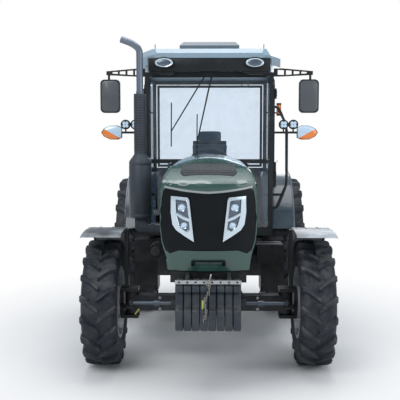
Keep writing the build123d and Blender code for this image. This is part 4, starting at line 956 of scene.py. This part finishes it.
# ---- rear fenders --------------------------------------------------------------------------
# Pressed steel guards over the rear wheels, in the body's dark paint. They are welded to the
# cab's side walls, stayed to them by a rod, and edged with a rubber lip.
fender_paint = finish("fender_paint", (0.032, 0.060, 0.085), 0.30, coat=0.6, dust=0.25, ripple=6,
                      relief=0.05, dust_and_sheen_size=3.0)
paint_nodes(fender_paint, "rear_fenders")
low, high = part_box("rear_fenders")
lip_radius, lip_foot = 0.868, 1.062
arc_low = math.asin((lip_foot - rear_mid.z) / lip_radius)
lip_section = [(-0.014, -0.022), (-0.014, 0.0), (-0.006, 0.004), (0.004, -0.002), (0.004, -0.034),
               (-0.004, -0.036)]
rings = []
for a in (arc_low + (math.pi - 2 * arc_low) * step / 40 for step in range(41)):
    rings.append([(high.x + dx, rear_mid.y + (lip_radius + dr) * math.cos(a),
                   rear_mid.z + (lip_radius + dr) * math.sin(a)) for dx, dr in lip_section])
# The lip takes the guards' finish, with its painted sky reflection on what faces up.
both(skinned(rings), "fender_lip", "chassis", guard_paint_with_sky_sheen, 40)
stay_y, stay_z = rear_mid.y - 0.60, 1.425
stay = piped([(high.x - 0.33, stay_y, stay_z), (high.x - 0.10, stay_y, stay_z)], 0.008, 12, 0.01)
both(stay, "fender_stay", "chassis", hose_rubber, 40)


# ---- cab frame and glass -------------------------------------------------------------------
# Folded and welded steel tube with black powder paint. The panes are bonded in on rubber, and
# each opening has a soft seal round it.
cab_black = finish("cab_black", (0.013, 0.018, 0.022), 0.38, coat=0.1, dust=0.12, grain=900, relief=0.08,
                   shine=0.25)
seal_rubber = finish("seal_rubber", (0.010, 0.011, 0.012), 0.6, dust=0.15, grain=1000, relief=0.1)
screen_glass = pane_material("screen_glass", (0.925, 0.955, 0.985), 0.04)
side_glass = pane_material("side_glass", (0.62, 0.76, 0.86), 0.05)
paint_nodes(cab_black, "cab_frame", "cab_hinges", "door_left", "door_right", "rear_window_frame", "wipers")
paint_nodes(screen_glass, "cab_glass", "rear_window_glass")
paint_nodes(side_glass, "door_glass_left", "door_glass_right")
cab_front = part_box("cab_frame")[0].y


def seal_round(x_low, x_high, z_low, z_high, y, radius, sides, corner, lap):
    """A seal of round rubber that runs once round an opening and laps its start."""
    return piped([(x_low, y, z_low), (x_high, y, z_low), (x_high, y, z_high), (x_low, y, z_high),
                  (x_low, y, z_low + lap)], radius, sides, corner)


screen_seal = seal_round(-0.620, 0.620, 1.834, 2.696, cab_front + 0.0225, 0.0045, 10, 0.03, 0.020)
fitted(screen_seal, "screen_seal", "chassis", seal_rubber, 50)
quarter_seal = seal_round(0.405, 0.622, 1.113, 1.797, cab_front + 0.005, 0.0035, 10, 0.02, 0.012)
both(quarter_seal, "quarter_seal", "chassis", seal_rubber, 50)
louvres = [plate([(cab_front - 0.001, z), (cab_front - 0.006, z + 0.004), (cab_front - 0.006, z + 0.012),
                  (cab_front - 0.001, z + 0.018)], "YZ", -0.16, 0.16)
           for z in (1.24 + 0.03 * k for k in range(10))]
fitted(joined(louvres), "bulkhead_louvres", "chassis", cab_black, 30)


# ---- doors ---------------------------------------------------------------------------------
# Each door is a glazed tube frame on two outside hinges. A steel push button sits above the
# handle's grip, and a rubber seal is pressed on down the door's free edge.
button = turned([(0.0, 0.0005), (0.0, 0.012), (0.004, 0.012), (0.006, 0.010), (0.006, 0.0005)],
                (0.7195, cab_front + 0.130, 1.812), "X", 24)
both(button, "door_button", "{}_door", bolt_steel, 40)
edge_x, edge_y = 0.6865, cab_front + 0.0675
both(piped([(edge_x, edge_y, 1.16), (edge_x, edge_y, 2.62)], 0.0035, 8), "door_seal", "{}_door",
     seal_rubber, 50)


# ---- seat ----------------------------------------------------------------------------------
# A sprung driver's seat. Cushion and back are foam under grey-blue cloth, sewn with piping, and
# the cover is drawn in at its seams.
seat_cloth, tree, shader = new_material("seat_cloth")
where = add_node(tree, "TexCoord")
warp, weft = [add_node(tree, "TexWave", [("Vector", where.outputs["Object"]), ("Scale", 260.0),
                       ("Distortion", 1.2), ("Detail", 2.0)], bands_direction=way) for way in "XZ"]
weave = add_node(tree, "Math", [(0, warp.outputs["Fac"]), (1, weft.outputs["Fac"])],
                 operation="MULTIPLY")
cloth_tint = add_node(tree, "Mix", [(0, weave.outputs[0]), (6, (0.040, 0.060, 0.085, 1)),
                      (7, (0.11, 0.155, 0.21, 1))], data_type="RGBA")
weave_bump = add_node(tree, "Bump", [("Strength", 0.5), ("Distance", 0.0008),
                      ("Height", weave.outputs[0])])
connect(tree, shader, [("Base Color", cloth_tint.outputs[2]), ("Normal", weave_bump.outputs[0]),
                       ("Roughness", 0.85), ("Sheen Weight", 0.4)])
seat_low, seat_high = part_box("seat")


def foam_pad(size, center, frames=18, pressure=4.0, swell=0.014):
    """A foam pad: a rounded block blown up a little as cloth and smoothed."""
    half = Vector(size) / 2
    lo, hi = Vector(center) - half, Vector(center) + half
    pad = cuboid((lo.x, hi.x), (lo.y, hi.y), (lo.z, hi.z), min(size) * 0.28, 4)
    modified(pad, "REMESH", mode="VOXEL", voxel_size=0.014)
    before = [v.co.copy() for v in pad.data.vertices]
    cloth = pad.modifiers.new("cloth", "CLOTH")
    cloth.settings.use_pressure = True
    cloth.settings.uniform_pressure_force = pressure
    cloth.settings.effector_weights.gravity = 0
    cloth.settings.tension_stiffness = 20
    cloth.settings.compression_stiffness = 20
    for step in range(1, frames + 1):
        bpy.context.scene.frame_set(step)
    bpy.ops.object.modifier_apply(modifier="cloth")
    bpy.context.scene.frame_set(1)
    for vertex, old in zip(pad.data.vertices, before):
        moved = vertex.co - old
        if moved.length > swell:
            vertex.co = old + moved.normalized() * swell
    return modified(pad, "SUBSURF", levels=1)


back_y, back_z = seat_high.y - 0.055, 1.78
# Name, size, middle and the node that the pad stands for.
PADS = [
    ("seat_cushion", (0.46, 0.46, 0.10), (0, (seat_low.y + seat_high.y) / 2 - 0.015, 1.512), ["seat"]),
    ("seat_back", (0.43, 0.075, 0.42), (0, back_y, back_z), []),
    ("seat_head", (0.27, 0.07, 0.13), (0, back_y, 2.068), []),
]
for name, size, center, stands_for in PADS:
    pad = fitted(foam_pad(size, center), name, "chassis", seat_cloth, 60, stands_for)
shell_plastic = finish("shell_plastic", (0.03, 0.032, 0.036), 0.55, dust=0.2, grain=700, relief=0.2)
pan = cuboid((-0.22, 0.22), (seat_low.y + 0.03, seat_high.y - 0.02), (1.450, 1.470), 0.006)
backing = cuboid((-0.20, 0.20), (seat_high.y - 0.022, seat_high.y - 0.002), (1.47, 2.02), 0.008)
stalks = [cuboid((x - 0.012, x + 0.012), (back_y - 0.008, back_y + 0.008), (1.97, 2.03), 0.003)
          for x in (-0.06, 0.06)]
fitted(joined([pan, backing, *stalks]), "seat_shell", "chassis", shell_plastic, 40)
piping = seal_round(-0.185, 0.185, back_z - 0.18, back_z + 0.18, back_y - 0.044, 0.0035, 8, 0.05, 0.010)
fitted(piping, "seat_piping", "chassis", shell_plastic, 60)


# ---- cab inside ----------------------------------------------------------------------------
# Steering column with a padded wheel and a dash hood, a lever console on the right, and rubber
# mats on the floor.
interior = finish("interior_grey", (0.045, 0.050, 0.056), 0.6, dust=0.25, grain=700, relief=0.25)
floor_mat = finish("floor_mat", (0.025, 0.026, 0.028), 0.75, dust=0.45, grain=300, relief=0.5)
paint_nodes(interior, "controls")
paint_nodes(floor_mat, "cab_floor")
wheel_at = Vector((0, cab_front + 0.38, 1.83))
lean = math.atan2(0.574, 0.819)
hand_wheel = hoop((0, 0, 0), 0.190, 0.0145, (0, 1, 0), (0, 0, 1), 48, 12)
hub = turned([(-0.014, 0.0005), (-0.014, 0.036), (-0.006, 0.044), (0.010, 0.042), (0.018, 0.030),
              (0.020, 0.0005)], (0, 0, 0), "Z", 36)
hand = joined([hand_wheel, hub])
hand.data.transform(Matrix.Translation(wheel_at) @ Matrix.Rotation(-lean, 4, "X"))
fitted(hand, "hand_wheel", "chassis", hose_rubber, 50)
knob = turned([(-0.035, 0.0005), (-0.034, 0.018), (-0.02, 0.027), (0.0, 0.0285), (0.022, 0.024),
               (0.034, 0.012), (0.036, 0.0005)], (-0.45, cab_front + 0.635, 1.733), "Z", 28)
fitted(knob, "lever_knob", "chassis", hose_rubber, 50)
gauges = [turned([(0.0, 0.0005), (0.0, 0.040), (0.006, 0.043), (0.010, 0.040), (0.010, 0.0005)],
                 (x, cab_front + 0.322, 1.735), "Y", 32) for x in (-0.10, 0.0, 0.10)]
fitted(joined(gauges), "gauge_rims", "chassis", hose_rubber, 50)


# ---- roof ----------------------------------------------------------------------------------
# A double-skinned roof of pale moulded plastic, screwed down on the cab frame. A black visor with
# two round lobes for its oval work lamps is set under the front edge, and a hatch tilts on top.
roof_paint = finish("roof_paint", (0.26, 0.36, 0.44), 0.32, coat=0.4, dust=0.25, ripple=4, relief=0.06,
                    dust_and_sheen_size=2.5)
hatch_paint = finish("hatch_paint", (0.11, 0.145, 0.18), 0.3, coat=0.4, dust=0.25)
visor_black = finish("visor_black", (0.012, 0.015, 0.017), 0.40, coat=0.05, dust=0.10, shine=0.2)
paint_nodes(roof_paint, "cab_roof")
paint_nodes(hatch_paint, "roof_hatch")
paint_nodes(visor_black, "roof_visor")
low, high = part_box("roof_visor")
lobe_x, lobe_z = 0.465, 2.828
lobe_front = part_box("work_lamps")[0].y - 0.0003


def oval(half_x, half_z, steps=40):
    """An oval outline of (x, z) round a roof lamp's middle."""
    return [(lobe_x + half_x * math.cos(a), lobe_z + half_z * math.sin(a)) for a in angles(steps)]


beam = plate([(-0.628, 2.744), (-0.628, high.z), (0.628, high.z), (0.628, 2.744)], "XZ", low.y + 0.020,
             high.y, 0.006)
cup = plate(oval(0.106, 0.060), "XZ", lobe_front + 0.012, high.y - 0.020, 0.006, 3)
lower = plate([(0.300, 2.790), (0.628, 2.790), (0.628, 2.752), (0.606, 2.728), (0.560, 2.713),
               (0.420, 2.713), (0.345, 2.730)], "XZ", low.y + 0.034, high.y - 0.012, 0.008, 3)
right_side = [copied(piece, mirror_x=True) for piece in (cup, lower)]
fitted(joined([beam, *right_side, cup, lower]), "roof_visor_skin", "chassis", visor_black,
       35, ["roof_visor"])


def swept_oval(section):
    """A closed ring round the roof lamp's middle, from (share of its oval, way back)."""
    loops = [oval(0.084 * grow, 0.042 * grow) for grow, _ in section]
    rows = [[(x, lobe_front + dy, z) for (x, z), (_, dy) in zip(column, section)] for column in zip(*loops)]
    return skinned(rows + rows[:1])


bezel = swept_oval([(0.80, -0.0005), (1.07, 0.0), (1.09, -0.006), (1.0, -0.012), (0.84, -0.010)])
both(bezel, "roof_lamp_bezel", "chassis", silver, 50)
lens = swept_oval([(0.82, -0.001), (0.82, -0.006), (0.6, -0.0095), (0.3, -0.0112), (0.01, -0.0116),
                   (0.01, -0.001)])
both(lens, "roof_lamp_lens", "chassis", bowl_grey, 60)
spike = piped([(0.56, cab_front - 0.02, 2.935), (0.565, cab_front - 0.018, 3.03)], 0.004, 10)
both(spike, "aerial", "chassis", hose_rubber, 50)
low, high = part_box("roof_hatch")
ribs = [cuboid((x - 0.012, x + 0.012), (low.y + 0.09, low.y + 0.55), (high.z - 0.0005, high.z + 0.005),
               0.002) for x in (-0.18, -0.09, 0.0, 0.09, 0.18)]
fitted(joined(ribs), "hatch_ribs", "hatch", hatch_paint, 40)


# ---- mirrors -------------------------------------------------------------------------------
# Two big mirrors hang from lattice arms of welded steel rod. Each is a pane of silvered glass
# pressed into the back of a rounded shell, which is moulded in dark plastic.
paint_nodes(cab_black, "mirrors", "lamp_rails")
mirror_shell = finish("mirror_shell", (0.075, 0.085, 0.095), 0.32, coat=0.25, dust=0.2)
mirror_low, mirror_high, mirror_y = (0.932, 2.322), (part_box("mirrors")[1].x, 2.668), cab_front - 0.030


def rounded(inset, radius, steps=6):
    """The mirror's rounded outline of (x, z), drawn in by an inset."""
    (x_low, z_low), (x_high, z_high) = [(x + way * inset, z + way * inset)
                                        for (x, z), way in ((mirror_low, 1), (mirror_high, -1))]
    outline = []
    for cx, cz, start in ((x_high - radius, z_high - radius, 0), (x_low + radius, z_high - radius, 90),
                          (x_low + radius, z_low + radius, 180), (x_high - radius, z_low + radius, 270)):
        for k in range(steps + 1):
            a = math.radians(start + 90 * k / steps)
            outline.append((cx + radius * math.cos(a), cz + radius * math.sin(a)))
    return outline


layers = [(0.022, -0.003), (0.012, 0.0005), (0.004, 0.006), (0.0, 0.016), (0.0, 0.036), (0.004, 0.042),
          (0.012, 0.044)]
rings = [[(x, mirror_y + dy, z) for x, z in rounded(inset, 0.045)] for inset, dy in layers]
both(skinned(rings), "mirror_back", "chassis", mirror_shell, 50)
mirror_glass = finish("mirror_glass", (0.80, 0.84, 0.88), 0.02, metallic=1.0, dust=0.03, relief=0.0)
rings = [[(x, mirror_y + dy, z) for x, z in rounded(0.016, 0.034)] for dy in (0.044, 0.0455)]
both(skinned(rings), "mirror_glass", "chassis", mirror_glass, 50)


# ---- lamps on the rails --------------------------------------------------------------------
# Round work lamps with four cells stand on each rail, beside a corner lamp that is white above
# and amber below. Their housings are black die castings.
paint_nodes(hose_rubber, "work_lamps")
lamp_face, bar_z = cab_front - 0.120, 2.118
for index, x in enumerate((0.768, 0.868)):
    z = bar_z + 0.082
    housing = turned([(0.062, 0.0005), (0.062, 0.030), (0.042, 0.038), (0.036, 0.048), (0.030, 0.0505),
                      (0.0, 0.0505), (-0.004, 0.048), (-0.004, 0.043), (0.002, 0.042), (0.002, 0.0005)],
                     (x, lamp_face, z), "Y", 44)
    both(housing, f"lamp_housing_{index}", "chassis", cab_black, 40)
    cells = [turned([(0.001, 0.0005), (0.001, 0.0165), (-0.003, 0.0165), (-0.0045, 0.012),
                     (-0.005, 0.0005)],
                    (x + 0.0205 * math.cos(a), lamp_face, z + 0.0205 * math.sin(a)), "Y", 24)
             for a in angles(4, math.pi / 4)]
    both(joined(cells), f"lamp_cells_{index}", "chassis", lens_clear, 60)
CORNER = [(0.9065, 2.064), (0.9065, 2.168), (0.95, 2.19), (1.03, 2.188), (1.092, 2.160), (1.120, 2.118),
          (1.092, 2.076), (1.030, 2.046), (0.95, 2.044)]
paint_nodes(cab_black, "corner_lamps", "rear_lamps")
corner_y, mid_x, mid_z = cab_front - 0.090, 1.0, 2.117
dome_section = [(0.94, -0.0285), (0.94, -0.034), (0.80, -0.0395), (0.50, -0.043), (0.02, -0.044),
                (0.02, -0.030)]
rows = [[(mid_x + (x - mid_x) * grow, corner_y + dy, mid_z + (z - mid_z) * grow)
         for grow, dy in dome_section] for x, z in CORNER]
dome = skinned(rows + rows[:1])
amber_dome = copied(dome)
for piece, keep_low in ((dome, False), (amber_dome, True)):
    open_mesh(piece)
    bpy.ops.mesh.bisect(plane_co=(1.04, 0, 2.125), plane_no=(0.55, 0, -1.0), use_fill=True,
                        clear_inner=keep_low, clear_outer=not keep_low)
    close_mesh()
both(dome, "corner_lens_white", "chassis", lens_clear, 50)
both(amber_dome, "corner_lens_amber", "chassis", lens_amber, 50)
beacon_y = rear_mid.y + 0.25
beacon = turned([(2.346, 0.0005), (2.346, 0.0305), (2.352, 0.0312), (2.455, 0.0305), (2.472, 0.026),
                 (2.481, 0.014), (2.482, 0.0005)], (0.850, beacon_y, 0), "Z", 36)
both(beacon, "beacon_lens", "chassis", lens_amber, 50)
tail_foot = Matrix.Translation((0, rear_mid.y + 0.9, 1.11))
for name, x_low, glass_paint in (("tail_red", 0.790, lens_red), ("tail_amber", 0.854, lens_amber)):
    lens = cuboid((x_low, x_low + 0.058), (rear_mid.y + 0.893, rear_mid.y + 0.906), (1.112, 1.165), 0.004)
    lens.data.transform(tail_foot @ Matrix.Rotation(0.30, 4, "X") @ tail_foot.inverted())
    both(lens, name, "chassis", glass_paint, 40)


# ---- rails and linkage ---------------------------------------------------------------------
# Grab rail and lamp rails are bent tube. The three-point linkage behind is forged steel with
# black paint, and its balls and pins are bright.
post_x, post_y = 0.6723, cab_front + 0.024
rail = piped([(post_x, post_y, 2.385), (0.716, post_y, 2.385), (0.744, post_y, 2.340),
              (0.800, cab_front, 2.200), (0.812, cab_front, 2.130), (0.814, cab_front, 1.574),
              (0.732, post_y, 1.344), (0.704, post_y, 1.324), (post_x, post_y, 1.324)], 0.0135, 16, 0.06)
fitted(rail, "grab_rail_skin", "chassis", cab_black, 50)
bars = piped([(post_x, post_y, bar_z), (0.730, post_y, bar_z), (0.752, corner_y, bar_z),
              (0.9059, corner_y, bar_z)], 0.0115, 16, 0.03)
both(bars, "lamp_rail_skin", "chassis", cab_black, 50)
linkage_black = finish("linkage_black", (0.022, 0.024, 0.028), 0.42, metallic=0.2, dust=0.35, grain=250)
paint_nodes(linkage_black, "lift_arms", "lower_links", "top_link")
frame_front, shaft_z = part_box("hitch_frame")[0].y, 0.64
couplers = [turned([(-0.004, 0.0005), (-0.004, 0.015), (0.010, 0.015), (0.012, 0.012), (0.030, 0.012),
                    (0.034, 0.009), (0.034, 0.0005)], (x, frame_front + 0.062, z), "Y", 24)
            for x in (-0.12, -0.04, 0.04, 0.12) for z in (0.945, 0.905)]
fitted(joined(couplers), "hose_couplers", "chassis", ram_chrome, 40)
shaft_cover = turned([(0.0, 0.064), (0.0, 0.082), (0.09, 0.094), (0.092, 0.090), (0.006, 0.078),
                      (0.006, 0.064)], (0, frame_front + 0.0605, shaft_z), "Y", 36)
fitted(shaft_cover, "shaft_guard", "chassis", hose_rubber, 40)
spline = bar((0.0155, frame_front + 0.086, shaft_z), (0.0155, frame_front + 0.158, shaft_z), 0.0028, 8)
splines = ring_of(spline, 6, (0, 0, shaft_z), "Y")
fitted(splines, "shaft_splines", "chassis", bolt_steel, 40)


# ---- floor, light and camera ---------------------------------------------------------------
# The tractor stands on a pale studio floor that fades to white. Four big soft boxes and a bluish
# sky light it, and the camera looks down a little from in front, level with the hood's crest.
select_only()
bpy.ops.mesh.primitive_plane_add(size=60, location=(0, 0, -0.001))
floor = bpy.context.object
bpy.ops.object.transform_apply(location=True, rotation=True, scale=True)
floor.name = "studio_floor"
floor_paint, tree, shader = new_material("studio_floor")
connect(tree, shader, [("Base Color", (0.8, 0.8, 0.8, 1)), ("Roughness", 0.9)])
where = add_node(tree, "TexCoord")
apart = add_node(tree, "VectorMath", [(0, where.outputs["Object"]), (1, (0.4, 0.32, 0))],
                 operation="MULTIPLY")
distance = add_node(tree, "VectorMath", [(0, apart.outputs[0])], operation="LENGTH")
fade = add_node(tree, "MapRange", [(0, distance.outputs["Value"]), (1, 0.55), (2, 1.35)])
glow = add_node(tree, "Emission", [(0, (1, 1, 1, 1)), (1, 1.0)])
mixed = add_node(tree, "MixShader", [(0, fade.outputs[0]), (1, shader.outputs[0]),
                 (2, glow.outputs[0])])
rays = add_node(tree, "LightPath")
seen = add_node(tree, "Math", [(0, rays.outputs["Is Camera Ray"]),
                (1, rays.outputs["Is Glossy Ray"])], operation="MAXIMUM")
seen = add_node(tree, "Math", [(0, seen.outputs[0]), (1, rays.outputs["Is Transmission Ray"])],
                operation="MAXIMUM")
plain = add_node(tree, "MixShader", [(0, seen.outputs[0]), (1, shader.outputs[0]),
                 (2, mixed.outputs[0])])
connect(tree, tree.nodes["Material Output"], [(0, plain.outputs[0])])
floor.data.materials.append(floor_paint)

world = bpy.data.worlds.new("studio")
bpy.context.scene.world = world
world.use_nodes = True
tree = world.node_tree
rays = add_node(tree, "LightPath")
seen = add_node(tree, "Math", [(0, rays.outputs["Is Camera Ray"]),
                (1, rays.outputs["Is Transmission Ray"])], operation="MAXIMUM")
lit = tree.nodes["Background"]
connect(tree, lit, [(0, (0.80, 0.90, 1.0, 1)), (1, 0.55)])
white = add_node(tree, "Background", [(0, (1, 1, 1, 1)), (1, 1.0)])
shown = add_node(tree, "MixShader", [(0, seen.outputs[0]), (1, lit.outputs[0]),
                 (2, white.outputs[0])])
connect(tree, tree.nodes["World Output"], [(0, shown.outputs[0])])

# Name, place, aimed at, size, power in watts.
LAMPS = [
    ("key", (-3.5, -6.5, 6.5), (0, -0.5, 1.2), 4.0, 240),
    ("fill", (5.0, -5.0, 3.5), (0, -0.5, 1.2), 4.0, 100),
    ("top", (0, 0.5, 7.5), (0, 0.5, 1.5), 5.0, 260),
    ("back", (1.5, 7.0, 4.0), (0, 0.5, 1.5), 4.0, 140),
]
for name, place, aim, size, power in LAMPS:
    light = bpy.data.lights.new(name, "AREA")
    light.size, light.energy = size, power
    lamp = bpy.data.objects.new(name, light)
    bpy.context.scene.collection.objects.link(lamp)
    lamp.location = place
    lamp.rotation_euler = (Vector(aim) - Vector(place)).to_track_quat("-Z", "Y").to_euler()

camera_data = bpy.data.cameras.new("front_view")
camera_data.sensor_width, camera_data.lens = 36.0, 69.7
camera = bpy.data.objects.new("front_view", camera_data)
bpy.context.scene.collection.objects.link(camera)
camera.location = (0.0288, -8.10, 2.108)
camera.rotation_euler = (math.radians(90 - 4.91), 0, 0.015556)
bpy.context.scene.camera = camera
bpy.context.scene.view_settings.view_transform = "Standard"
